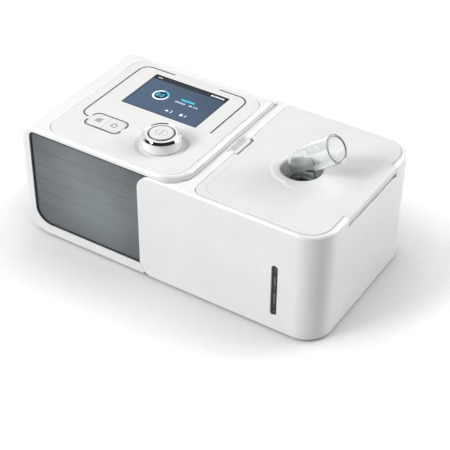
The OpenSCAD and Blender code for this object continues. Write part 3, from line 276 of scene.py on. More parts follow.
def carve(obj, cuts=(), joins=(), keeps=()):
    """Plain mesh of obj joined with, kept common to and cut by shapes or by other solid objects."""
    tools = []
    for kind, shapes in (("UNION", joins), ("INTERSECT", keeps), ("DIFFERENCE", cuts)):
        for shape in shapes:
            tool = shape if isinstance(shape, bpy.types.Object) else solid("tool", shape)
            mod = obj.modifiers.new(kind, "BOOLEAN")
            mod.operation, mod.object, mod.solver = kind, tool, "EXACT"
            tools.append(tool)
    graph = bpy.context.evaluated_depsgraph_get()
    graph.update()
    mesh = bpy.data.meshes.new_from_object(obj.evaluated_get(graph))
    obj.modifiers.clear()
    obj.data = mesh
    for tool in tools:
        bpy.data.objects.remove(tool)
    return obj


def even_normals(obj):
    """Normals weighted by the size of the faces, with sharp edges kept."""
    mod = obj.modifiers.new("Normals", "WEIGHTED_NORMAL")
    mod.keep_sharp = True


def finish_piece(obj, material, body, nodes=(), angle=32):
    """Shades a piece smooth up to an angle, gives it its finish and puts it on its body."""
    mesh = obj.data
    mesh.polygons.foreach_set("use_smooth", np.ones(len(mesh.polygons), bool))
    mesh.set_sharp_from_angle(angle=math.radians(angle))
    mesh.materials.clear()
    mesh.materials.append(material)
    even_normals(obj)
    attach(obj, body)
    if nodes:
        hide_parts(*nodes)


def piece(name, shape, material, body, nodes=(), slot=None, angle=32, **carving):
    """Makes a finished piece from a shape, carved where cuts, joins or keeps are given."""
    obj = solid(name, shape)
    if carving:
        carve(obj, **carving)
    finish_piece(obj, material, body, nodes, angle)


# Finishes

def colour(code):
    """sRGB hex to the linear colour that a shader takes."""
    v = np.array([int(code[i:i + 2], 16) for i in (1, 3, 5)]) / 255
    v = np.where(v <= 0.04045, v / 12.92, ((v + 0.055) / 1.055) ** 2.4)
    return (*v.tolist(), 1.0)


def connect(node, links):
    """Gives each input of a node a value, a socket, or the first output of another node."""
    for key, value in links.items():
        source = value.outputs[0] if isinstance(value, bpy.types.Node) else value
        if isinstance(source, bpy.types.NodeSocket):
            node.id_data.links.new(source, node.inputs[key])
        else:
            node.inputs[key].default_value = source


def add(tree, kind, links=None, stops=(), **settings):
    """Adds a node: links go to its inputs as connect() says, stops are the (position, hex) colours
    of a ramp, and settings are its own properties."""
    node = tree.nodes.new(kind)
    for key, value in settings.items():
        setattr(node, key, value)
    if stops:
        ends = node.color_ramp.elements
        for end, (position, code) in ((ends[0], stops[0]), (ends[1], stops[-1])):
            end.position, end.color = position, colour(code)
        for position, code in stops[1:-1]:
            ends.new(position).color = colour(code)
    connect(node, links or {})
    return node


def empty_tree(owner):
    """Node tree of a material or world, switched on and emptied."""
    owner.use_nodes = True
    owner.node_tree.nodes.clear()
    return owner.node_tree


def new_material(name, **shader):
    """A material with one Principled shader whose plain values are set on its own sockets. Returns
    it with its tree, its shader and the Object coordinates."""
    mat = bpy.data.materials.new(name)
    tree = empty_tree(mat)
    bsdf = add(tree, "ShaderNodeBsdfPrincipled", {k.replace("_", " "): v for k, v in shader.items()})
    add(tree, "ShaderNodeOutputMaterial", {"Surface": bsdf})
    return mat, tree, bsdf, add(tree, "ShaderNodeTexCoord").outputs["Object"]


def lay_pattern(bsdf, pattern, rough, stops=(), height=None, bump=0.0, depth_mm=0.0):
    """Lays a pattern over a shader: it runs between two ends into the roughness and through colour
    stops into the base colour, and a height becomes relief of depth_mm."""
    tree = bsdf.id_data
    sheen = add(tree, "ShaderNodeMapRange", {"Value": pattern, "To Min": rough[0], "To Max": rough[1]})
    connect(bsdf, {"Roughness": sheen})
    if stops:
        connect(bsdf, {"Base Color": add(tree, "ShaderNodeValToRGB", {"Fac": pattern}, stops)})
    if height is not None:
        depth = depth_mm / 1000
        relief = add(tree, "ShaderNodeBump", {"Height": height, "Strength": bump, "Distance": depth})
        connect(bsdf, {"Normal": relief})


def moulded(name, tones, rough, grain_mm, bump, mottle_mm, **shader):
    """Injection-moulded plastic: a cloudy tone over mottle_mm, an even rougher or smoother sheen,
    and the fine grain of the tool's surface, grain_mm across, as bump."""
    mat, tree, bsdf, where = new_material(name, **shader)
    cloud = add(tree, "ShaderNodeTexNoise", {"Vector": where, "Scale": 1000 / mottle_mm, "Detail": 3.0})
    grain = add(tree, "ShaderNodeTexNoise", {"Vector": where, "Scale": 1000 / grain_mm, "Detail": 2.0})
    lay_pattern(bsdf, cloud, rough, [(0.3, tones[0]), (0.7, tones[1])], grain, bump, 0.04)
    return mat


# Moulded ABS, polished tool: even white with a soft, clear gloss and hardly any grain
GLOSS_ABS = moulded("gloss_moulded_abs", ("#f1f2f2", "#f5f6f6"), (0.2, 0.26), 0.5, 0.03, 24,
                    IOR=1.54, Coat_Weight=0.15, Coat_Roughness=0.12)
# Moulded ABS with a satin tool: the lid, keys and latch, a little softer in their highlights
SATIN_ABS = moulded("satin_moulded_abs", ("#e7e7e7", "#ebebeb"), (0.34, 0.42), 0.4, 0.06, 20, IOR=1.54)
# Fine-textured ABS of the control plate: slightly warm, matt, with a visible tool grain
PLATE_ABS = moulded("textured_moulded_abs", ("#eaeae8", "#eeeeec"), (0.42, 0.5), 0.45, 0.12, 16, IOR=1.54)
# Painted line in a groove: dark grey, semi-matt
GROOVE_INK = moulded("grey_line_paint", ("#3b4547", "#4a5456"), (0.4, 0.5), 0.25, 0.05, 6, IOR=1.5)
# Polished ABS of the outlet's well: white plastic drawn a cool mid grey as painted shade of the deep well,
# with a clear gloss
SOCKET_ABS = moulded("well_shade_moulded_abs", ("#c4c8ca", "#d4d8d9"), (0.12, 0.2), 0.4, 0.06, 12, IOR=1.54)
# Satin ABS of the latch's finger pad, pale grey as painted shade in its dish
DISH_SHADE_ABS = moulded("dish_shade_moulded_abs", ("#c6c6c2", "#cecec9"), (0.45, 0.55), 0.35, 0.2, 8, IOR=1.54)
# Printed symbols: mid grey pad-printing ink
KEY_INK = moulded("pad_printing_ink", ("#5f6566", "#747a7b"), (0.45, 0.55), 0.2, 0.05, 4, IOR=1.5)
# Moulded scale on the window: dull grey, hardly lighter than the smoked acrylic
SCALE_INK = moulded("smoked_scale", ("#4c4d4e", "#5f6061"), (0.3, 0.4), 0.3, 0.05, 5, IOR=1.49)
# Black glass-filled nylon: inner housings and the outlet's sleeve
BLACK_NYLON = moulded("black_moulded_nylon", ("#1d1f21", "#2b2d30"), (0.35, 0.5), 0.3, 0.12, 8, IOR=1.53)
# Moulded rubber of the feet and of the panel's ring: matt black with a dusty bloom
FOOT_RUBBER = moulded("moulded_rubber", ("#232425", "#343536"), (0.7, 0.85), 0.4, 0.3, 5, IOR=1.52)
# Silicone rubber of seals, mounts and ducts: soft grey, slightly waxy
SEAL_SILICONE = moulded("silicone_rubber", ("#a9adae", "#bcbfc0"), (0.45, 0.6), 0.5, 0.1, 10, IOR=1.41)
# Red silicone ring that seals the socket
RED_SILICONE = moulded("red_silicone", ("#a8392b", "#b8483a"), (0.4, 0.5), 0.4, 0.08, 6, IOR=1.41)
# Open-cell filter foam: grey, coarse pores about a millimetre across
FILTER_FOAM = moulded("open_cell_foam", ("#6d7071", "#a4a7a8"), (0.85, 0.95), 1.1, 1.0, 1.3, IOR=1.45)
# Smoked acrylic of the level window: nearly black, with a soft gloss
SMOKED = moulded("smoked_acrylic", ("#090a0a", "#151616"), (0.3, 0.4), 0.6, 0.02, 9, IOR=1.49)


def brushed_metal(name, tones, rough, along, line_mm=0.25):
    """Metal with fine parallel lines: noise stretched along one axis, in tone, roughness and bump."""
    mat, tree, bsdf, where = new_material(name, Metallic=1.0)
    stretch = [1.0, 1.0, 1.0]
    stretch[along] = 0.03
    scaled = add(tree, "ShaderNodeMapping", {"Vector": where, "Scale": stretch})
    lines = add(tree, "ShaderNodeTexNoise", {"Vector": scaled, "Scale": 1000 / line_mm, "Detail": 2.0})
    lay_pattern(bsdf, lines, rough, [(0.35, tones[0]), (0.65, tones[1])], lines, 0.1, 0.03)
    return mat


# Bright chromed ring: almost a mirror, with the faintest turning lines
CHROME = brushed_metal("bright_chrome", ("#cfd2d4", "#dcdfe1"), (0.04, 0.08), 2)
# Darkened chrome of the fine ring at the dial's mouth: smoke-grey and softer
DARK_CHROME = brushed_metal("smoked_chrome", ("#565b5d", "#666b6d"), (0.22, 0.3), 2)
# Ground steel of shaft, screws and pin
STEEL = brushed_metal("ground_steel", ("#a9acaf", "#bfc2c4"), (0.25, 0.38), 2)
# Rolled aluminium of the heater and the tank's floor
ALUMINIUM = brushed_metal("rolled_aluminium", ("#b6b9bb", "#cdd0d2"), (0.3, 0.45), 0, 0.4)


def panel_paint():
    """Grey panel: metallic-grey painted ABS, finely hatched. Upright hatch lines 1.3 mm apart, drawn
    a little coarser than the real 0.5 mm ones so that they show, break into dashes of about 3 mm.
    The tone falls off with the distance from a point in the panel's middle: a painted highlight that stands
    in for a lamp's reflection."""
    mat, tree, bsdf, where = new_material("hatched_grey_paint", IOR=1.5, Coat_Weight=0.1, Coat_Roughness=0.3)
    hatch_mm, painted_highlight_at = 1.3, place([62.0, 1.2, 48.0])
    axes = add(tree, "ShaderNodeSeparateXYZ", {"Vector": where})
    turns = 2 * math.pi * 1000 / hatch_mm
    phase = add(tree, "ShaderNodeMath", {0: axes.outputs["X"], 1: turns}, operation="MULTIPLY")
    lines = add(tree, "ShaderNodeMath", {0: phase}, operation="SINE")
    dashes = add(tree, "ShaderNodeTexNoise", {"Vector": where, "Scale": 330.0, "Detail": 1.0})
    hatch = add(tree, "ShaderNodeMath", {0: lines, 1: dashes}, operation="MULTIPLY")
    cloud = add(tree, "ShaderNodeTexNoise", {"Vector": where, "Scale": 22.0, "Detail": 2.0})
    tone = add(tree, "ShaderNodeMath", {0: hatch, 1: 0.16, 2: cloud}, operation="MULTIPLY_ADD")
    # Painted highlight: the tone is lightest at a point in the panel's middle and falls off away from it
    off = add(tree, "ShaderNodeVectorMath", {0: where, 1: painted_highlight_at}, operation="DISTANCE")
    painted_highlight = add(tree, "ShaderNodeMapRange", {"Value": off.outputs["Value"], "From Min": 0.01,
                                            "From Max": 0.075, "To Min": 0.2, "To Max": -0.5})
    tone = add(tree, "ShaderNodeMath", {0: tone, 1: painted_highlight}, operation="ADD")
    lay_pattern(bsdf, tone, (0.36, 0.46), [(0.0, "#575d60"), (0.85, "#80888b")], hatch, 0.12, 0.08)
    return mat


def clear_plastic(name, tint, ior, rough):
    """Clear moulded plastic: refraction through its own wall, with faint flow lines in the bump."""
    mat, tree, bsdf, where = new_material(name, Base_Color=colour(tint), IOR=ior, Transmission_Weight=1.0)
    flow = add(tree, "ShaderNodeTexNoise", {"Vector": where, "Scale": 90.0, "Detail": 2.0, "Distortion": 0.6})
    lay_pattern(bsdf, flow, (rough, rough + 0.03), (), flow, 0.05, 0.3)
    return mat


def board_material():
    """Circuit board: glass-fibre laminate under green solder resist, its tracks as bricks and the
    tinned pads as the middles of Voronoi cells."""
    mat, tree, bsdf, where = new_material("solder_resist_board", IOR=1.5)
    tracks = add(tree, "ShaderNodeTexBrick", {
        "Vector": where, "Scale": 160.0, "Color1": colour("#24583a"), "Color2": colour("#2c6845"),
        "Mortar": colour("#1b4630"), "Mortar Size": 0.03})
    spots = add(tree, "ShaderNodeTexVoronoi", {"Vector": where, "Scale": 260.0})
    tin = add(tree, "ShaderNodeMath", {0: spots, 1: 0.12}, operation="LESS_THAN")
    mix = add(tree, "ShaderNodeMix", {0: tin, 6: tracks, 7: colour("#c2b98a")}, data_type="RGBA")
    connect(bsdf, {"Base Color": mix.outputs[2]})
    lay_pattern(bsdf, spots, (0.3, 0.5))
    return mat


def pixel_glass(name, strength, **shader):
    """Glass over a lit display, with a pixel grid 0.25 mm apart. Returns the material, its shader,
    its coordinates and the grid."""
    mat, tree, bsdf, where = new_material(name, Emission_Strength=strength, IOR=1.52,
                                          Specular_IOR_Level=0.2, **shader)
    dots = add(tree, "ShaderNodeTexChecker", {"Vector": where, "Scale": 4000.0})
    return mat, bsdf, where, dots.outputs["Fac"]


def glow_through(bsdf, pattern, stops):
    """Runs a pattern through colour stops into the glow and into the base colour."""
    tone = add(bsdf.id_data, "ShaderNodeValToRGB", {"Fac": pattern}, stops)
    connect(bsdf, {"Emission Color": tone, "Base Color": tone})


def display_material():
    """Lit display: a blue-grey field that runs darker with the product of the ways to the right and
    to the back, its sheen broken by the pixel grid."""
    mat, bsdf, where, dots = pixel_glass("lit_display_glass", 0.34)
    tree = bsdf.id_data
    axes = add(tree, "ShaderNodeSeparateXYZ", {"Vector": where})
    low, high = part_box("screen_glass")
    across, back = [add(tree, "ShaderNodeMapRange", {"Value": axes.outputs[i], "From Min": low[i],
                                                     "From Max": high[i]}) for i in (0, 1)]
    mixed = add(tree, "ShaderNodeMath", {0: across, 1: back}, operation="MULTIPLY")
    glow_through(bsdf, mixed, [(0.0, "#3f536c"), (0.4, "#384b61"), (1.0, "#2c3d52")])
    lay_pattern(bsdf, dots, (0.12, 0.16))
    return mat


def lit(name, code, strength):
    """Lit picture elements: their colour glows through, every second pixel 6% darker."""
    mat, bsdf, _, dots = pixel_glass(name, strength, Roughness=0.3)
    dark = "#" + "".join(f"{int(int(code[i:i + 2], 16) * 0.94):02x}" for i in (1, 3, 5))
    glow_through(bsdf, dots, [(0.0, dark), (1.0, code)])
    return mat


# Painted front panel: silky metallic grey, with a painted highlight in its middle
GREY_PANEL = panel_paint()
# Clear polycarbonate of the elbow: glassy, with faint moulding flow; that of the tank is hazier
CLEAR_PC = clear_plastic("clear_polycarbonate", "#fbfdfd", 1.585, 0.01)
TANK_PC = clear_plastic("tank_polycarbonate", "#eef5f7", 1.585, 0.06)
# Circuit boards: green laminate with darker tracks and dull tin spots
BOARD = board_material()
# Lit display under glass: a dim blue-grey field, with white, cyan and grey marks and a dark bar
DISPLAY = display_material()
UI_WHITE = lit("display_white", "#e9eef5", 0.55)
UI_CYAN = lit("display_cyan", "#18b6dc", 0.7)
UI_GREY = lit("display_grey", "#b4bdca", 0.45)
UI_BAR = lit("display_dark_bar", "#141b27", 0.1)


# Main unit

# Roundings of the whole body: rim of the front, front and back of the right side, the back's top
# edge, and its bottom and left edges
FRONT_RIM, SIDE_FRONT_R, SIDE_BACK_R, BACK_TOP_R, BACK_LOW_R = 2.4, 20.0, 14.0, 16.0, 6.0
# Radii of the section's corners, seen from the front, from the lower left one anticlockwise
SECTION_R = 19.0, 2.0, 3.2, 13.0
# Corners at a joint line, inner corners on the right, and the top of the grey panel
JOINT_R, INNER_R, PANEL_TOP = 0.3, 1.0, 95.6
# Plan centres of the two roundings of the right side
FRONT_AT, BACK_AT = (MAIN_W - SIDE_FRONT_R, SIDE_FRONT_R), (MAIN_W - SIDE_BACK_R, BODY_D - SIDE_BACK_R)


def ease(distance, radius):
    """How far a rounded edge of radius lies in, at distance before its end."""
    d = np.clip(radius - distance, 0, radius)
    return radius - math.sqrt(max(radius * radius - d * d, 0.0))


def main_section(y, inset=0.0, z_low=0.0, z_high=DECK_H, front=True):
    """Section of the main unit across y: a rounded rectangle in x and z. Its sides move in where the
    plan's corners, the front rim and the back's top and bottom edges are rounded."""
    rim = ease(y, FRONT_RIM) if front else 0.0
    low_in = max(rim, ease(BODY_D - y, BACK_LOW_R)) + inset
    x1 = MAIN_W - max(rim, ease(y, SIDE_FRONT_R), ease(BODY_D - y, SIDE_BACK_R)) - inset
    z0 = z_low + (low_in if z_low == 0 else 0)
    z1 = z_high - (max(rim, ease(BODY_D - y, BACK_TOP_R)) + inset if z_high == DECK_H else 0)
    radii = [SECTION_R[0] - inset - rim, SECTION_R[1], SECTION_R[2], SECTION_R[3] - inset - rim]
    if z_low != 0:
        radii[:2] = JOINT_R, JOINT_R
    if z_high != DECK_H:
        radii[2:] = JOINT_R, JOINT_R
    if inset:
        radii[1:3] = INNER_R, INNER_R
    return low_in, x1, z0, z1, radii


def main_loft(ys, **options):
    """Loft of main_section through the stations ys: on each, four quarter circles about centres that
    lie a radius inside the corners. A large corner has 15 points, a small one 7."""
    sections = []
    for y in ys:
        x0, x1, z0, z1, radii = main_section(y, **options)
        corners = ((x0, z0, 1, 1, 180), (x1, z0, -1, 1, 270), (x1, z1, -1, -1, 0), (x0, z1, 1, -1, 90))
        ring = []
        for (x, z, in_x, in_z, start), radius in zip(corners, radii):
            radius = max(min(radius, (z1 - z0) / 2.2), 0.05)
            count = 15 if max(radii) == radius or radius > 5 else 7
            a = np.radians(start + np.linspace(0, 90, count))
            centre = np.array([x, z]) + np.array([in_x, in_z]) * radius
            ring.append(centre + radius * np.stack([np.cos(a), np.sin(a)], 1))
        ring = np.concatenate(ring)
        sections.append(np.stack([ring[:, 0], np.full(len(ring), y), ring[:, 1]], 1))
    return lofted(sections)


def stations(*spans):
    """Places along y from spans (from, to, count, kind): kind "in" crowds them at the start by
    1 - cos, "out" at the end by sin, and "" leaves them even."""
    out = []
    for a, b, count, kind in spans:
        t = np.linspace(0, 1, count)
        if kind == "in":
            t = 1 - np.cos(t * math.pi / 2)
        if kind == "out":
            t = np.sin(t * math.pi / 2)
        out.append(a + (b - a) * t)
    return np.unique(np.round(np.concatenate(out), 4))


def wing_front(grow):
    """Front outline of the humidifier's wing, grown by so many millimetres, open to the right."""
    return box_outline(WING_X - grow, 0.8 - grow, BODY_W + 20, LID_H + grow, (12 + grow, 0.5, 0.5, 13 + grow))


def wing_room(grow, back=12.5):
    """Room for the wing and some millimetres round it, from before the front to the wing's back."""
    return prism(wing_front(grow), -2, back, "y")


def front_outline(grow):
    """Outline of the grey panel in the front, grown outwards."""
    return box_outline(8.5 - grow, 10.5 - grow, 126.0, PANEL_TOP + grow, (14 + grow, 0.5, 0.5, 5 + grow))


def plate_outline(grow):
    """Plan of the control plate, grown outwards."""
    low, high = corner_box("control_plate")
    return box_outline(low[0] - grow, low[1] - grow, high[0] + grow, high[1] + grow,
                       (12 + grow, 15.5 + grow, 13 + grow, 13 + grow))


# Front outline of the room under the wing, where the rim's lower right corner is cut square
UNDER_WING = box_outline(112, -9, 160, 3, 0.5)


def build_bezel():
    """Rim round the front: the body's first millimetres, open for the grey panel and the wing."""
    ys = stations((0, FRONT_RIM, 7, "in"), (FRONT_RIM, SEAM_Y - 0.35, 2, ""))
    opening = stacked(front_outline(0.45), [(0.1, -1), (0.1, 0.2), (0.0, 0.8), (0.0, 12)], "y")
    piece("front_bezel", main_loft(ys), GLOSS_ABS, "machine", ["front_frame"], "white_gloss", cuts=[
        opening, wing_room(0.35, 14), prism(UNDER_WING, -2, 14, "y")])


def build_casings():
    """Upper and lower casing: the body behind the bezel, hollowed, open for the rear panel and the
    wing. The upper one has the plate's recess and a shallow line along its right edge."""
    front_to, back_from = SIDE_FRONT_R, BODY_D - BACK_TOP_R
    middle = (front_to, back_from, 3, "")
    outer = stations((SEAM_Y, front_to, 12, "in"), middle, (back_from, BODY_D, 14, "out"))
    inner = stations((SEAM_Y - 1, front_to, 8, ""), middle, (back_from, BODY_D - WALL, 10, "out"))
    rear_opening = prism(box_outline(9, 9, 130.2, 79, 3), BODY_D - 4, BODY_D + 2, "y")
    common = [main_loft(inner, inset=WALL, front=False), wing_room(0.4), rear_opening]
    recess = stacked(plate_outline(0.45), [
        (0, DECK_H - 2.1), (0, DECK_H - 0.3), (-0.3, DECK_H + 0.02), (-0.3, 104)])
    corner = circle_part(BACK_AT, SIDE_BACK_R, 6, 84)
    edge_line = strip(np.concatenate([[[MAIN_W, 16.5], [MAIN_W, BACK_AT[1]]], corner]), 1.4, 97.2, 98.0)
    for name, low, high, node, own in (
            ("casing_top", SPLIT_Z + 0.06, DECK_H, "upper_casing", [recess, edge_line]),
            ("casing_tub", 0.0, SPLIT_Z - 0.06, "lower_casing", [prism(UNDER_WING, -2, 12.5, "y")])):
        body = main_loft(outer, z_low=low, z_high=high, front=False)
        piece(name, body, GLOSS_ABS, "machine", [node], "white_gloss", cuts=common + own)


def build_grey_panel():
    """Grey panel with five level grooves, and the rubber ring in the seam round it."""
    wing = wing_room(0.8)
    brow = [(0.35 * i / 3, 1.5 - 0.3 * math.sin(i * math.pi / 6)) for i in range(1, 4)]
    pitch, left, right, width = 13, 13.5, 104.5, 0.45
    grooves = []
    for i in range(1, 6):
        z = PANEL_TOP - pitch * (i + 0.2)
        grooves.append(stacked(box_outline(left, z, right, z + width, 0.2),
                               [(0.1, 1.55), (0.05, 1.4), (-0.1, 1.1), (-0.1, 0)], "y"))
    piece("grey_front_panel", stacked(front_outline(-0.05), [(0, 3.4), (0, 1.5)] + brow, "y"), GREY_PANEL,
          "machine", ["front_panel"], "panel_grey", cuts=[wing] + grooves)
    piece("panel_seal", stacked(front_outline(0.3), [(0, 1.9), (0, 0.5), (0.15, 0.35)], "y"), FOOT_RUBBER,
          "machine", slot="dark_plastic", cuts=[prism(front_outline(-0.95), 0, 3, "y"), wing])


def dial_centre():
    """Plan centre of the dial: the middle of its node's box."""
    low, high = corner_box("dial")
    return (low[:2] + high[:2]) / 2


def keys_box():
    """Corners of the opening that both keys share, measured from the keys' caps."""
    low, _ = corner_box("ramp_button")
    _, high = corner_box("home_button")
    return low + (0.8, 2.7, 0.8), high + (-2.5, 1.2, -0.8)


def groove_paths():
    """The painted lines: one round the screen's left, one round its right, and one before and one
    behind the two keys."""
    k0, k1 = keys_box()
    mid = (k0[1] + k1[1]) / 2
    x0, x1, y0, y1 = k0[0] - 1.0, k1[0] + 1.0, k0[1] - 1.0, k1[1] + 1.0
    s_low, s_high = corner_box("screen_glass")
    left, right = 30.2, 130.2
    return [open_path(corners) for corners in (
        [(x0 - 1.6, mid + 0.6, 0), (left, mid + 0.6, 7.5), (left, 123.6, 8.5), (s_low[0] + 13.5, 123.6, 0)],
        [(s_high[0] - 14, 124.2, 0), (right, 124.2, 9), (right, s_low[1] - 0.5, 0)],
        [(x0, mid - 2.2, 0), (x0, y0, 4.5), (x1 - 0.5, y0, 4.5), (x1 - 0.5, y0 + 5.6, 0)],
        [(x0 + 0.5, mid + 3.2, 0), (x0 + 0.5, y1, 5.5), (x1, y1, 5.5), (x1, mid + 1.2, 0)])]


def build_control_plate():
    """Control plate with the dish round the dial, its openings and the painted lines in their grooves.
    The dish is flat, then rises to the deck along a soft step."""
    dial, paths = dial_centre(), groove_paths()
    s_low, s_high = corner_box("screen_glass")
    k_low, k_high = keys_box()
    under, over, floor, flat_r, slope, depth = 97, 101, 98.6, 17.0, 4.7, 1.42
    side = [[flat_r + slope * k, floor + depth * float(smooth(k))] for k in np.linspace(0, 1, 14)]
    dish = [[0, floor]] + side + [[22.6, over], [0, over]]
    shaft = [[0, under], [5.8, under], [5.8, DECK_H], [0, DECK_H]]
    keyway = box_outline(*k_low[:2], *k_high[:2], 6)
    screen = box_outline(*(s_low[:2] - 0.2), *(s_high[:2] + 0.2), 0.6)
    cuts = [stacked(outline, [(0, under), (0, DECK_H - wide), (-wide, DECK_H + 0.02), (-wide, over)])
            for outline, wide in ((keyway, 0.3), (screen, 0.4))]
    groove_floor, paint_top = 99.4, 99.93
    cuts += [strip(path, 0.72, groove_floor, over) for path in paths]
    cuts += [turned_solid(shaft, dial, 49), turned_solid(dish, dial, 97)]
    edge_r = 0.4
    rows = [(0, DECK_H - 2), (0, DECK_H - edge_r)] + quarter(0, DECK_H, edge_r)[1:]
    piece("control_plate_skin", stacked(plate_outline(0), rows), PLATE_ABS, "machine", ["control_plate"],
          "white_satin", cuts=cuts)
    paint = [strip(path, 0.71, groove_floor - 0.1, paint_top) for path in paths]
    piece("painted_line", combined(*paint), GROOVE_INK, "machine", slot="panel_grey")


def printed(name, body, level, lines):
    """Printed symbol on a cap whose top is at level: lines (path, half width, thickness)."""
    shapes = [strip(path, half, level - 0.2, level + thick) for path, half, thick in lines]
    piece(name, combined(*shapes), KEY_INK, body, slot="panel_grey")


def build_keys():
    """Two keycaps: each half of the capsule with a softly rounded top edge and a printed symbol."""
    k0, k1 = keys_box()
    mid = np.array([(k0[0] + k1[0]) / 2, (k0[1] + k1[1]) / 2])
    top = 100.5
    rows = [(0.15, 96.6), (0.15, 99.9)] + quarter(0.15, top, 0.4)[1:]
    for name, body, x0, x1, radii in (("ramp_cap", "ramp_button", k0[0], mid[0], (6, 0.6, 0.6, 6)),
                                      ("home_cap", "home_button", mid[0], k1[0], (0.6, 6, 6, 0.6))):
        shape = stacked(box_outline(x0, k0[1], x1, k1[1], radii), rows)
        piece(name, shape, SATIN_ABS, body, [body], "white_satin")
    slope = [(-9.4, -2.2), (-9.4, 1.2), (-5.0, 2.4), (-5.0, -2.2), (-9.4, -2.2)]
    printed("ramp_symbol", "ramp_button", top, [
        (mid + slope, 0.35, 0.03), (mid + [(-7.9, -2.0), (-7.9, 1.4)], 0.45, 0.04),
        (mid + [(-6.4, -2.0), (-6.4, 1.8)], 0.45, 0.04)])
    house = mid + (7.2, 0)
    printed("home_symbol", "home_button", top, [
        (house + [(-2.7, 0.2), (0, 2.6), (2.7, 0.2)], 0.4, 0.03),
        (house + [(-1.9, 0.4), (-1.9, -2.2), (1.9, -2.2), (1.9, 0.4)], 0.4, 0.04)])


def digits(text, x, y, height, z0, z1):
    """Seven-stroke figures: each stroke is a short line between two of the figure's six corners."""
    corners = {k: np.array(v) for k, v in zip("abcdef", [(0, 0), (1, 0), (0, 1), (1, 1), (0, 2), (1, 2)])}
    strokes = {"0": "ab bd df fe ec ca", "8": "ab bd df fe ec ca cd"}
    out, w, h = [], height * 0.45, height / 2
    for sign in text:
        if sign == ".":
            out.append(strip([(x - 0.1, y), (x + 0.4, y)], 0.3, z0, z1))
            x += 1.1
            continue
        for pair in strokes[sign].split():
            out.append(strip([corners[key] * (w, h) + (x, y) for key in pair], 0.32, z0, z1))
        x += w + 1.1
    return out


def build_screen():
    """Display glass with a dark surround and the generic picture on it."""
    low, high = corner_box("screen_glass")
    face = 99.8
    base, top, higher = face - 0.1, face + 0.02, face + 0.02 + 0.03
    edge = box_outline(*low[:2], *high[:2], 0.5)
    piece("display_glass", stacked(edge, [(0, 98), (0, face - 0.15), (0.15, face)]), DISPLAY, "machine",
          ["screen_glass"], "screen_glass")

    def line(path, half):
        """Raised line on the glass."""
        return strip(path, half, base, top)

    def blocks(sizes, level=top):
        """Raised bars (x0, x1, y0, y1) on the glass."""
        return [prism(box_outline(x0, y0, x1, y1, 0.1), base, level) for x0, x1, y0, y1 in sizes]

    # Dark: the bar along the back, a border round the field, and the gauge's face
    gauge, gauge_r = np.array([67.4, 92.3]), 6.2
    gauge_face = prism(flat_outline(circle_part(gauge, 5.3, 0, 352.5, 48)), base, top)
    dark = blocks([
        (low[0] + 0.3, high[0] - 0.3, high[1] - 6.4, high[1] - 0.3),
        (low[0] + 0.1, high[0] - 0.1, high[1] - 0.9, high[1] - 0.1),
        (low[0] + 0.1, low[0] + 1.2, low[1] + 0.2, high[1] - 0.9),
        (high[0] - 0.7, high[0] - 0.1, low[1] + 0.2, high[1] - 0.9),
        (low[0] + 1.2, high[0] - 0.7, low[1] + 0.1, low[1] + 0.8)])

    # White: the gauge's ring, a row of icons and a short bar on the dark one, a drop, a triangle and
    # two brackets
    status_y = high[1] - 3.6
    t = np.linspace(0, 2 * math.pi, 24, endpoint=False)
    drop = np.stack([1.5 * np.sin(t) * (0.6 + 0.4 * np.cos(t / 2) ** 2), -1.7 * np.cos(t)], 1)
    whites = [line(gauge + bow(gauge_r, 0.5 * math.pi, 2.05 * math.pi, 60), 0.75)]
    icons = [(101.2 + 2.1 * i, 102.6 + 2.1 * i, status_y - 0.9, status_y + 0.9) for i in range(6)]
    whites += blocks(icons + [(50.4, 54.2, status_y - 0.3, status_y + 0.4)], higher)
    whites += [prism(flat_outline(np.array([97.2, 76.8]) + drop), base, top),
               prism(rounded([(82.2, 75.4, 0.4), (85.8, 75.2, 0.4), (84.6, 77.9, 0.8)]), base, top),
               line([(87.9, 74.6), (88.4, 76.4), (87.9, 78.2)], 0.3),
               line([(100.6, 75.2), (101.2, 76.8), (100.6, 78.4)], 0.3)]

    # Cyan: the rest of the gauge's ring, the figures in it and a bar; grey: two rows of small blocks
    cyans = [line(gauge + bow(gauge_r, 0.08 * math.pi, 0.47 * math.pi, 16), 0.78)]
    cyans += digits("8.0", gauge[0] - 3.5, gauge[1] - 2.0, 4.0, base, higher)
    cyans += blocks([(84.9, 97.2, 94.6, 96.6)])
    greys = blocks([(82.0 + 1.6 * i, 83.3 + 1.6 * i, 90.0, 92.0) for i in range(6)])
    greys += blocks([(94.8, 97.5, 90.2, 92.0), (98.9, 100.5, 90.2, 92.0), (101.2, 102.8, 90.2, 92.0)])
    for name, material, shapes in (("display_status_bar", UI_BAR, dark + [gauge_face]),
                                   ("display_gauge", UI_WHITE, whites), ("display_figures", UI_CYAN, cyans),
                                   ("display_scale", UI_GREY, greys)):
        piece(name, combined(*shapes), material, "machine", slot="screen_glass")


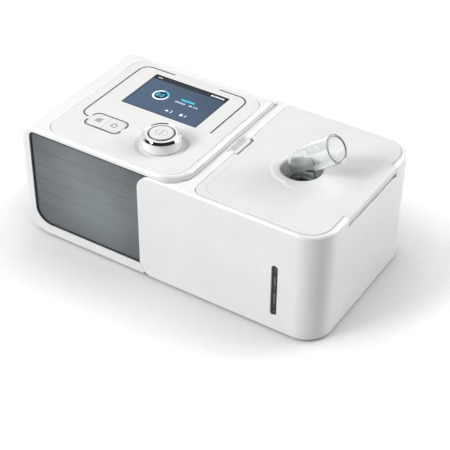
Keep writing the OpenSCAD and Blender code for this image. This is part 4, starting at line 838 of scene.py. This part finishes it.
def build_dial():
    """Dial: white skirt with a soft foot, bright ring with rounded edges, fine ring round its mouth, and
    the start button with its mark. Profiles are (radius, height), turned about the dial's axis."""
    c = dial_centre()
    foot = 99.4
    skirt = [[5.55, foot], [8, foot], [8, 101.5], [12.3, 101.5], [12.3, foot], [14.6, foot],
             [14.9, foot + 0.35], [14.85, 101.2], [14.7, 105.9], [14.5, 106.5], [14.3, 106.65],
             [12.9, 106.65], [12.9, 109.35], [9.9, 109.4], [9.5, 109.2], [9.5, 103.5], [5.55, 103.5]]
    ring = [[12.92, 106.75], [14.75, 106.75], [15.05, 107.0], [15.05, 107.55], [14.95, 107.8], [13.85, 109.6],
            [13.6, 109.85], [13.2, 109.98], [12.7, 109.7], [12.5, 109.35], [12.92, 109.3]]
    bead = [[9.55, 109.3], [10.5, 109.3], [10.65, 109.42], [10.5, 109.62], [10.05, 109.72], [9.6, 109.62],
            [9.5, 109.42]]
    cap = [[0, 105.3], [9.15, 105.3], [9.15, 109.75], [9.05, 110.02], [8.8, 110.18], [8.4, 110.2],
           [5.5, 110.1], [0, 110.04]]
    stem = [[0, 95.3], [2.95, 95.3], [2.95, 105.25], [0, 105.25]]
    piece("dial_skirt", turned_solid(skirt, c, 128, True), GLOSS_ABS, "dial", ["dial"], "white_gloss")
    piece("dial_bright_ring", turned_solid(ring, c, 160, True), CHROME, "dial", ["dial_ring"], "bright_ring")
    piece("dial_mouth_bead", turned_solid(bead, c, 128, True), DARK_CHROME, "dial", slot="bright_ring",
          angle=60)
    piece("start_cap", combined(turned_solid(cap, c, 128), turned_solid(stem, c, 48)), SATIN_ABS,
          "start_button", ["start_button"], "white_satin")
    top, thick = 110.06, 0.05
    a = np.linspace(0, 2 * math.pi, 20, endpoint=False)
    dot = 0.28 * np.stack([np.cos(a), np.sin(a)], 1)
    # Mark: an upright line with round ends between two arcs
    mark = [strip(c + (0.1, y) + dot, 0.27, top - 0.2, top + thick, True) for y in (3.1, -3.1)]
    mark.append(strip([c + (0.1, -2.8), c + (0.1, 2.8)], 0.24, top - 0.2, top + 0.03))
    mark += [strip(c + bow(4.6, side - 1.0, side + 1.0, 24), 0.14, top - 0.2, top + thick)
             for side in (0, math.pi)]
    piece("start_symbol", combined(*mark), KEY_INK, "start_button", slot="panel_grey")


# Humidifier

# Plan of the lid (x0, y0, x1, y1), with the radii of its left and right corners
LID_BOX, LID_LEFT_R, LID_RIGHT_R = (155.5, 3.5, 261.2, 141.5), 8, 17.6


def build_shell():
    """Shell: the block with its wing, hollowed, with the lid's opening, window, slot and pocket."""
    rows = [(0.5, 0.8), (0.15, 0.95), (0, 1.3)] + quarter(0, LID_H, 3.0, 9)
    block = stacked(box_outline(90, 0, BODY_W, BODY_D, (2, 21.5, 21.5, 2)), rows)
    # The dock's side runs 0.5 mm outside the main unit's roundings, from the wing's back to the shell's
    # back left corner, and the wedge is cut into the shell's top round the back one
    wing_back, dock_x, front_r, back_r = 12, 140, SIDE_FRONT_R + 0.5, SIDE_BACK_R + 0.5
    near = math.degrees(math.asin((wing_back - FRONT_AT[1]) / front_r))
    far = math.degrees(math.acos((dock_x - BACK_AT[0]) / back_r))
    dock = np.concatenate([[[60, wing_back]], circle_part(FRONT_AT, front_r, near, 0),
                           circle_part(BACK_AT, back_r, 0, far), [[dock_x, 160], [60, 160]]])
    wedge = np.concatenate([circle_part(BACK_AT, 13.5, 12, 70), circle_part(BACK_AT, 17.0, 70, 12)])
    face = np.concatenate([circle_part((WING_X + 12, 12.8), 12, 180, 270),
                           [[WING_X + 12, -9], [300, -9], [300, 110], [WING_X + 13, 110]],
                           circle_part((WING_X + 13, 82), 13, 90, 180)])
    room = box_outline(149.5, WALL, BODY_W - WALL, BODY_D - WALL, (2, 19, 19, 2))
    mouth = box_outline(159.2, 6.7, 257.8, 138.3, 15)
    lip = box_outline(*LID_BOX, (LID_LEFT_R, LID_RIGHT_R, LID_RIGHT_R, LID_LEFT_R))
    hinge_slot = box_outline(37.05, 85.9, 111.75, 98, 0.3)
    window = box_outline(225.9, W_LOW, 230.9, W_HIGH, 2.49)
    pocket = box_outline(148.9, 61.6, 161, 84.4, 0.4)
    hollow_wing = box_outline(WING_X + WALL, 3.3, 152, 91, (9.5, 0.3, 0.3, 10.5))
    cuts = [
        prism(flat_outline(dock), -30, 140), prism(room, -30, 88.3), prism(mouth, 80, 92.5),
        stacked(lip, [(-0.3, 91.7), (-0.3, 94.3), (-0.5, 94.75), (-0.95, 95.05), (-0.95, 98)]),
        prism(flat_outline(wedge), 90, 140),
        stacked(hinge_slot, [(0, 259.4), (0, 265.7), (-0.25, 266.05), (-0.25, 270)], "x"),
        stacked(window, [(0, 5), (0, 0.35), (-0.4, -0.1), (-0.4, -2)], "y"),
        stacked(pocket, [(0, 80), (0, 94.7), (-0.35, 95.05), (-0.35, 99)]),
        prism(hollow_wing, 2.6, 9.4, "y")]
    piece("humidifier_case", block, GLOSS_ABS, "machine", ["humidifier_shell"], "white_gloss",
          keeps=[prism(flat_outline(face), -30, BODY_D + 30, "y")], cuts=cuts)


def build_window():
    """Smoked pane of the level window with its raised scale: five short marks and two long bars."""
    pane = box_outline(226.0, W_LOW + 0.1, 230.8, W_HIGH - 0.1, 2.39)
    piece("level_window_pane", stacked(pane, [(0, 2.3), (0, 1.25), (0.3, 0.95)], "y"), SMOKED, "machine",
          ["level_window"], "window_smoke")
    slant = 0.6
    marks = [(227.3, 229.9, z + 2.0, z + 2.7, slant) for z in (W_LOW + 6.1, W_LOW + 23.0, W_HIGH - 7.7)]
    marks += [(227.0, 229.8, z, z + 1.0, slant) for z in (W_LOW + 3.0, W_HIGH - 3.6)]
    marks += [(227.7, 229.4, W_LOW + 10.2, W_LOW + 20.6, 0), (227.7, 229.4, W_LOW + 27.2, W_HIGH - 10.4, 0)]
    outlines = [rounded([(x0, z0, 0.15), (x1, z0 - fall, 0.15), (x1, z1 - fall, 0.15), (x0, z1, 0.15)])
                for x0, x1, z0, z1, fall in marks]
    piece("level_marks", combined(*[prism(outline, 1.2, 0.92, "y") for outline in outlines]), SCALE_INK,
          "machine", slot="window_smoke")


def lid_height(x, y):
    """Top of the lid: level at its height, minus a shallow field four millimetres in from the edge,
    minus the deeper front field with a soft edge that runs straight in front of the well and as an
    arc round its left, where the field rises until it runs out."""
    def outside(x0, y0, x1, y1, r):
        """Distance from a rounded rectangle, negative inside."""
        qx = np.abs(x - (x0 + x1) / 2) - (x1 - x0) / 2 + r
        qy = np.abs(y - (y0 + y1) / 2) - (y1 - y0) / 2 + r
        return np.hypot(np.maximum(qx, 0), np.maximum(qy, 0)) + np.minimum(np.maximum(qx, qy), 0) - r

    shallow, deep, collar_r = 0.22, 1.0, 21.6
    from_well = np.hypot(x - WELL[0], y - WELL[1])
    z = LID_H - shallow * smooth(-outside(159.8, 7.8, 257.0, 137.2, 12) / 1.2)
    front = outside(159.8, 7.8, 256.6, 48.5, 10.0)
    beside = np.maximum(np.maximum(collar_r - from_well, x - WELL[0]), outside(159.8, 20, 257, 137.2, 12))
    runs_out = 1 - smooth((y - 46) / 34)
    z = z - deep * smooth(-np.minimum(front, beside) / 2.0) * runs_out
    rim = 1 - smooth((from_well - WELL_R) / 1.3)
    return z - 0.7 * rim * rim


def build_lid():
    """Lid as one closed grid. Rows run from the well's wall outwards over the top, round the edge
    and back underneath; columns run round the outline, which dips in at the latch and steps out to
    the side where the skirt wraps over and ends in the hinge barrel."""
    x0, y0, x1, y1 = LID_BOX
    notch_x, notch0, notch1, skirt0, skirt1 = 159.1, 61.7, 84.3, 37.4, 111.4
    outline, normals = rounded([
        (x0, y0, LID_LEFT_R), (x1, y0, LID_RIGHT_R), (x1, skirt0, 0), (BODY_W, skirt0, 0),
        (BODY_W, skirt1, 0), (x1, skirt1, 0), (x1, y1, LID_RIGHT_R), (x0, y1, LID_LEFT_R),
        (x0, notch1 + 1.5, 0), (notch_x, notch1, 0), (notch_x, notch0, 0), (x0, notch0 - 1.5, 0)], step=1.4)
    skirt = outline[:, 0] > x1 + 0.03
    normals = np.where(outline[:, :1] > x1 - 0.01, np.array([1.0, 0.0]), normals)
    # Rows (inset, height) round the edge, from the top to the underside: of the plain edge, and of
    # the skirt, which rolls over a quarter circle and then round the barrel's half circle
    under, roll = 92.0, 3.0
    plain = [(0.45, 95.0), (0.2, 94.93), (0.05, 94.78), (0.0, 94.6), (0.3, 94.1), (0.8, 93.5), (1.4, 92.9),
             (2.0, 92.4), (2.4, 92.05)] + [(inset, under) for inset in (2.8, 3.2, 3.6, 4.0, 5.0)]
    wrap = [(roll - roll * math.sin(k), under + roll * math.cos(k)) for k in np.linspace(0, math.pi / 2, 6)]
    wrap += [(roll - roll * math.cos(k), 90.6 - roll * math.sin(k)) for k in np.linspace(0, math.pi, 7)]
    plain, wrap = np.array(plain), np.array(wrap + [(6.5, under)])
    edge = np.where(skirt[None, :, None], wrap[:, None], plain[:, None])
    ring = outline[None] - normals[None] * edge[..., :1]
    beyond = np.minimum(outline[None, :, 0], BODY_W - edge[..., 0])
    ring[..., 0] = np.where(skirt[None], beyond, ring[..., 0])
    rim = np.concatenate([ring, edge[..., 1:]], 2)
    # Top: on rays from the well's middle, each from the well's wall to the edge's first row, with
    # points a little closer together towards the edge
    arm = rim[0, :, :2] - WELL
    reach = np.linalg.norm(arm, axis=1, keepdims=True)
    t = 1 - (1 - np.linspace(0, 1, 84)[:-1]) ** 1.12
    radius = WELL_R + (reach - WELL_R) * t[:, None, None]
    top = WELL + (arm / reach)[None] * radius
    height = lid_height(top[..., 0], top[..., 1])[..., None]
    inner = smooth(np.clip((reach - radius) / 1.5, 0, 1))
    height = rim[0, :, 2:][None] * (1 - inner) + height * inner
    hole = WELL + (arm / reach) * WELL_R
    wall = [np.concatenate([hole, np.full((len(hole), 1), z)], 1) for z in (under, 92.7)]
    grid = np.concatenate([np.array(wall), np.concatenate([top, height], 2), rim], 0)
    shape = grid.reshape(-1, 3), grid_faces(grid.shape[0], grid.shape[1], True).tolist()
    piece("humidifier_lid", shape, SATIN_ABS, "lid", ["lid"], "white_satin", angle=50)


def build_latch():
    """Latch: a rounded tab with a shallow finger dish and its grip pad, and its foot under the lid."""
    x0, x1, y0, y1 = 149.3, 157.3, 62.5, 83.5
    foot_x, foot_y0, foot_y1 = x1 - 4, y0 + 3.5, y1 - 3.5
    tab = stacked(box_outline(x0, y0, x1, y1, (1.2, 0.8, 0.8, 1.2)),
                  [(0.2, 91.6), (0, 91.9), (0, 94.3)] + quarter(0, 94.9, 0.6)[1:])
    dish = box_outline(x0 + 0.9, y0 + 1.2, x1 - 2.6, y1 - 1.2, 1.0)
    piece("latch_tab", tab, SATIN_ABS, "latch", ["latch"], "white_satin",
          cuts=[stacked(dish, [(0.3, 93.5), (0.1, 93.7), (0, 94.6), (-0.3, 95.1)])],
          joins=[prism(box_outline(foot_x, foot_y0, 167.5, foot_y1, 0.3), 89.4, 91.8),
                 prism(box_outline(foot_x, foot_y0, x1, foot_y1, 0.3), 90, 92.5)])
    # Pad on the floor of the finger dish, pale grey as painted shade of the dish
    pad = stacked(box_outline(x0 + 0.95, y0 + 1.25, x1 - 2.65, y1 - 1.25, 0.95),
                  [(0.2, 93.4), (0, 93.6), (0, 93.8)] + quarter(0, 94.0, 0.2)[1:])
    piece("latch_grip", pad, DISH_SHADE_ABS, "latch", slot="white_satin")


def build_outlet():
    """Dark socket in the lid and the clear elbow in it: riser, ball-shaped bend and slanted arm."""
    cup = [[16.0, 92.0], [16.0, 80.6], [15.6, 80.2], [15.6, 78.6], [16.6, 77.6], [18.5, 77.6], [18.5, 92.0]]
    sleeve = [[15.55, 79.6], [15.2, 79.2], [11.6, 79.0], [11.05, 78.6], [11.05, 66], [13.5, 66], [13.5, 76],
              [15.55, 76.4]]
    # The well's grey tone is painted shade inside the well; its plastic is white
    for name, profile, material, slot in (("outlet_well", cup, SOCKET_ABS, "white_satin"),
                                          ("outlet_sleeve", sleeve, BLACK_NYLON, "dark_plastic")):
        piece(name, turned_solid(profile, WELL, 96, True), material, "lid", ["outlet_socket"], slot)
    bend_z, tilt, length, bore = 101.3, math.radians(37), 34.3, 9

    def arm(profile):
        """Lathe profile (radius, distance) turned about the arm's axis, which rises by tilt."""
        verts, faces = turned_solid(profile, (0, 0), 79)
        c, s = math.cos(tilt), math.sin(tilt)
        x = WELL[0] + verts[:, 2] * c - verts[:, 0] * s
        z = bend_z + verts[:, 2] * s + verts[:, 0] * c
        return np.stack([x, WELL[1] + verts[:, 1], z], 1), faces

    def ball(radius):
        """Ball round the bend, where the riser's axis meets the arm's."""
        return turned_solid(bow(radius, -math.pi / 2, math.pi / 2, 37) + (0, bend_z), WELL, 61)

    riser = [[0, 66.4], [10.7, 66.4], [11.0, 66.8], [11.0, 79.3], [14.1, 79.3], [14.5, 79.6], [14.5, 81.2],
             [14.2, 81.5], [10.5, 81.5], [10.5, bend_z], [0, bend_z]]
    tube = [[0, 0.01], [10.5, 0.01], [10.5, 10.9], [11.0, 11.4], [11.0, length - 0.5], [10.85, length - 0.15],
            [10.5, length], [0, length]]
    elbow = carve(solid("clear_elbow", turned_solid(riser, WELL, 73)), joins=[ball(10.7), arm(tube)])
    shaft = [[0, 60], [bore, 60], [bore, bend_z], [0, bend_z]]
    mouth = [[0, 0.02], [bore, 0.02], [bore, length - 0.4], [9.4, length + 0.1], [9.4, length + 5],
             [0, length + 5]]
    way = carve(solid("way", turned_solid(shaft, WELL, 73)), joins=[ball(9.2), arm(mouth)])
    finish_piece(carve(elbow, cuts=[way]), CLEAR_PC, "elbow", ["elbow"], angle=28)


# CAD nodes that stay

NODE_FINISHES = {
    "rear_panel": SATIN_ABS, "filter_cover": GLOSS_ABS, "air_filter": FILTER_FOAM,
    "power_inlet": BLACK_NYLON, "lcd_module": BLACK_NYLON, "display_board": BOARD,
    "button_pad": SEAL_SILICONE, "encoder": SEAL_SILICONE, "main_board": BOARD,
    "silencer_box": BLACK_NYLON, "silencer_foam": FILTER_FOAM, "blower_mounts": SEAL_SILICONE,
    "blower_lower": BLACK_NYLON, "blower_upper": BLACK_NYLON, "impeller": SATIN_ABS,
    "motor_shaft": STEEL, "motor_bearings": STEEL, "blower_motor": ALUMINIUM,
    "air_duct": SEAL_SILICONE, "rubber_feet": FOOT_RUBBER, "casing_screws": STEEL,
    "humidifier_base": SATIN_ABS, "humidifier_screws": STEEL, "heater_mounts": SEAL_SILICONE,
    "heater_plate": ALUMINIUM, "tank_plate": ALUMINIUM, "water_tank": TANK_PC,
    "inlet_duct": SEAL_SILICONE, "lid_seal": SEAL_SILICONE, "hinge_pin": STEEL,
    "elbow_seal": RED_SILICONE,
}
# Edges of a node that turn by more than this many radians stay sharp
SHARP_TURN = 0.6


def smooth_nodes():
    """Node group that merges a CAD node's triangles and shades it smooth, its sharp edges kept."""
    tree = bpy.data.node_groups.new("even_shading", "GeometryNodeTree")
    for way in ("INPUT", "OUTPUT"):
        tree.interface.new_socket("Geometry", in_out=way, socket_type="NodeSocketGeometry")
    start = add(tree, "NodeGroupInput")
    merged = add(tree, "GeometryNodeMergeByDistance", {"Geometry": start, "Distance": MERGE})
    faces = add(tree, "GeometryNodeSetShadeSmooth", {"Geometry": merged, "Shade Smooth": True}, domain="FACE")
    angle = add(tree, "GeometryNodeInputMeshEdgeAngle")
    sharp = add(tree, "FunctionNodeCompare", {"A": angle, "B": SHARP_TURN}, data_type="FLOAT",
                operation="GREATER_THAN")
    edges = add(tree, "GeometryNodeSetShadeSmooth", {"Geometry": faces, "Selection": sharp,
                                                     "Shade Smooth": False}, domain="EDGE")
    add(tree, "NodeGroupOutput", {"Geometry": edges})
    return tree


def dress_nodes():
    """Finishes for the CAD nodes that stay, with even shading over their loose triangles."""
    shading = smooth_nodes()
    for name, material in NODE_FINISHES.items():
        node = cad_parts[name]
        node.data.materials.clear()
        node.data.materials.append(material)
        mod = node.modifiers.new("Shading", "NODES")
        mod.node_group = shading
        even_normals(node)


# Floor, light and camera

# Lamps: name, place in metres, side in metres, watts
LAMPS = (("left_light", (-1.6, -0.8, 2.3), 1.2, 25.0), ("key_light", (-1.36, -2.09, 1.65), 1.0, 62.0),
         ("right_light", (2.0, 1.6, 1.0), 1.3, 31.0), ("back_light", (1.1, 2.0, 1.9), 1.8, 36.0))
# The point that every lamp faces, and half the floor's side, in metres
LIT_POINT, FLOOR_HALF = Vector((0, 0, 0.05)), 6.0


def build_floor():
    """Pale floor that keeps the shadow: a matt white surface that camera, glossy and transmission
    rays see lifted towards white by a glow. The glow is weaker where something is within 8 cm, a painted
    contact shadow, and weaker near the object, a painted shade."""
    corners = [(-FLOOR_HALF, -FLOOR_HALF, 0), (FLOOR_HALF, -FLOOR_HALF, 0), (FLOOR_HALF, FLOOR_HALF, 0),
               (-FLOOR_HALF, FLOOR_HALF, 0)]
    mesh = bpy.data.meshes.new("studio_floor")
    mesh.from_pydata(corners, [], [[0, 1, 2, 3]])
    floor = bpy.data.objects.new("studio_floor", mesh)
    SCENE.collection.objects.link(floor)
    mat = bpy.data.materials.new("white_studio_floor")
    tree = empty_tree(mat)
    matt = add(tree, "ShaderNodeBsdfDiffuse", {"Color": colour("#c8c8c8")})
    rays = add(tree, "ShaderNodeLightPath").outputs
    seen = rays["Is Camera Ray"]
    for kind in ("Is Glossy Ray", "Is Transmission Ray"):
        seen = add(tree, "ShaderNodeMath", {0: seen, 1: rays[kind]}, operation="MAXIMUM")
    # Painted contact shadow: the glow falls with the ambient occlusion within 8 cm
    near = add(tree, "ShaderNodeAmbientOcclusion", {"Distance": 0.08}, samples=8)
    close = add(tree, "ShaderNodeMath", {0: near.outputs["AO"], 1: 2.2}, operation="POWER")
    lift = add(tree, "ShaderNodeMath", {0: seen, 1: close}, operation="MULTIPLY")
    # Painted shade: the glow is weaker towards the floor's middle, under the object
    where = add(tree, "ShaderNodeTexCoord").outputs["Object"]
    away = add(tree, "ShaderNodeVectorMath", {0: where}, operation="LENGTH")
    level = add(tree, "ShaderNodeMapRange", {"Value": away.outputs["Value"], "From Min": 0.4, "From Max": 2.2,
                                             "To Min": 0.62, "To Max": 1.0})
    lift = add(tree, "ShaderNodeMath", {0: lift, 1: level}, operation="MULTIPLY")
    glow = add(tree, "ShaderNodeEmission", {"Color": (1, 1, 1, 1), "Strength": lift})
    add(tree, "ShaderNodeOutputMaterial", {"Surface": add(tree, "ShaderNodeAddShader", {0: matt, 1: glow})})
    mesh.materials.append(mat)


def build_light():
    """World that is white to the camera, also through clear pieces, and dim as light; glossy rays see
    a soft bright wall at the back left and a dark room elsewhere. Square lamps face the object."""
    world = bpy.data.worlds.new("studio_world")
    SCENE.world = world
    tree = empty_tree(world)
    rays = add(tree, "ShaderNodeLightPath").outputs
    ray = add(tree, "ShaderNodeTexCoord").outputs["Generated"]
    facing = add(tree, "ShaderNodeVectorMath", {0: ray, 1: (0.5, -0.8, -0.45)}, operation="DOT_PRODUCT")
    studio = add(tree, "ShaderNodeMapRange", {"Value": facing.outputs["Value"], "From Min": -0.45,
                                              "From Max": -0.1, "To Min": 1.0, "To Max": 0.03},
                 interpolation_type="SMOOTHSTEP")
    gloss = add(tree, "ShaderNodeMix", {"Factor": rays["Is Glossy Ray"], "A": 0.06, "B": studio})
    seen = add(tree, "ShaderNodeMath", {0: rays["Is Camera Ray"], 1: rays["Is Transmission Ray"]},
               operation="MAXIMUM")
    power = add(tree, "ShaderNodeMix", {"Factor": seen, "A": gloss, "B": 1.0})
    back = add(tree, "ShaderNodeBackground", {"Color": (1, 1, 1, 1), "Strength": power})
    add(tree, "ShaderNodeOutputWorld", {"Surface": back})
    for name, spot, side, watts in LAMPS:
        lamp = bpy.data.lights.new(name, "AREA")
        lamp.shape, lamp.size, lamp.energy = "SQUARE", side, watts
        obj = bpy.data.objects.new(name, lamp)
        obj.location = spot
        obj.rotation_euler = (LIT_POINT - Vector(spot)).to_track_quat("-Z", "Y").to_euler()
        SCENE.collection.objects.link(obj)


def build_camera():
    """Camera at the photograph's angle, from its yaw, pitch and roll."""
    yaw, pitch, roll = (math.radians(a) for a in (32.20, 37.64, 0.49))
    forward = Vector((-math.sin(yaw) * math.cos(pitch), math.cos(yaw) * math.cos(pitch), -math.sin(pitch)))
    level = Vector((math.cos(yaw), math.sin(yaw), 0))
    upward = level.cross(forward)
    right = level * math.cos(roll) + upward * math.sin(roll)
    up = upward * math.cos(roll) - level * math.sin(roll)
    cam = bpy.data.cameras.new("photo_camera")
    cam.lens, cam.sensor_width, cam.clip_start, cam.clip_end = 100.98, 36.0, 0.05, 20.0
    obj = bpy.data.objects.new("photo_camera", cam)
    turn = Matrix((right, up, -forward)).transposed()
    obj.matrix_world = Matrix.Translation((0.43293, -0.67495, 0.63028)) @ turn.to_4x4()
    SCENE.collection.objects.link(obj)
    SCENE.camera = obj
    SCENE.view_settings.view_transform = "Standard"


build_camera()
build_floor()
build_light()
dress_nodes()
build_bezel()
build_casings()
build_grey_panel()
build_control_plate()
build_keys()
build_screen()
build_dial()
build_shell()
build_window()
build_lid()
build_latch()
build_outlet()
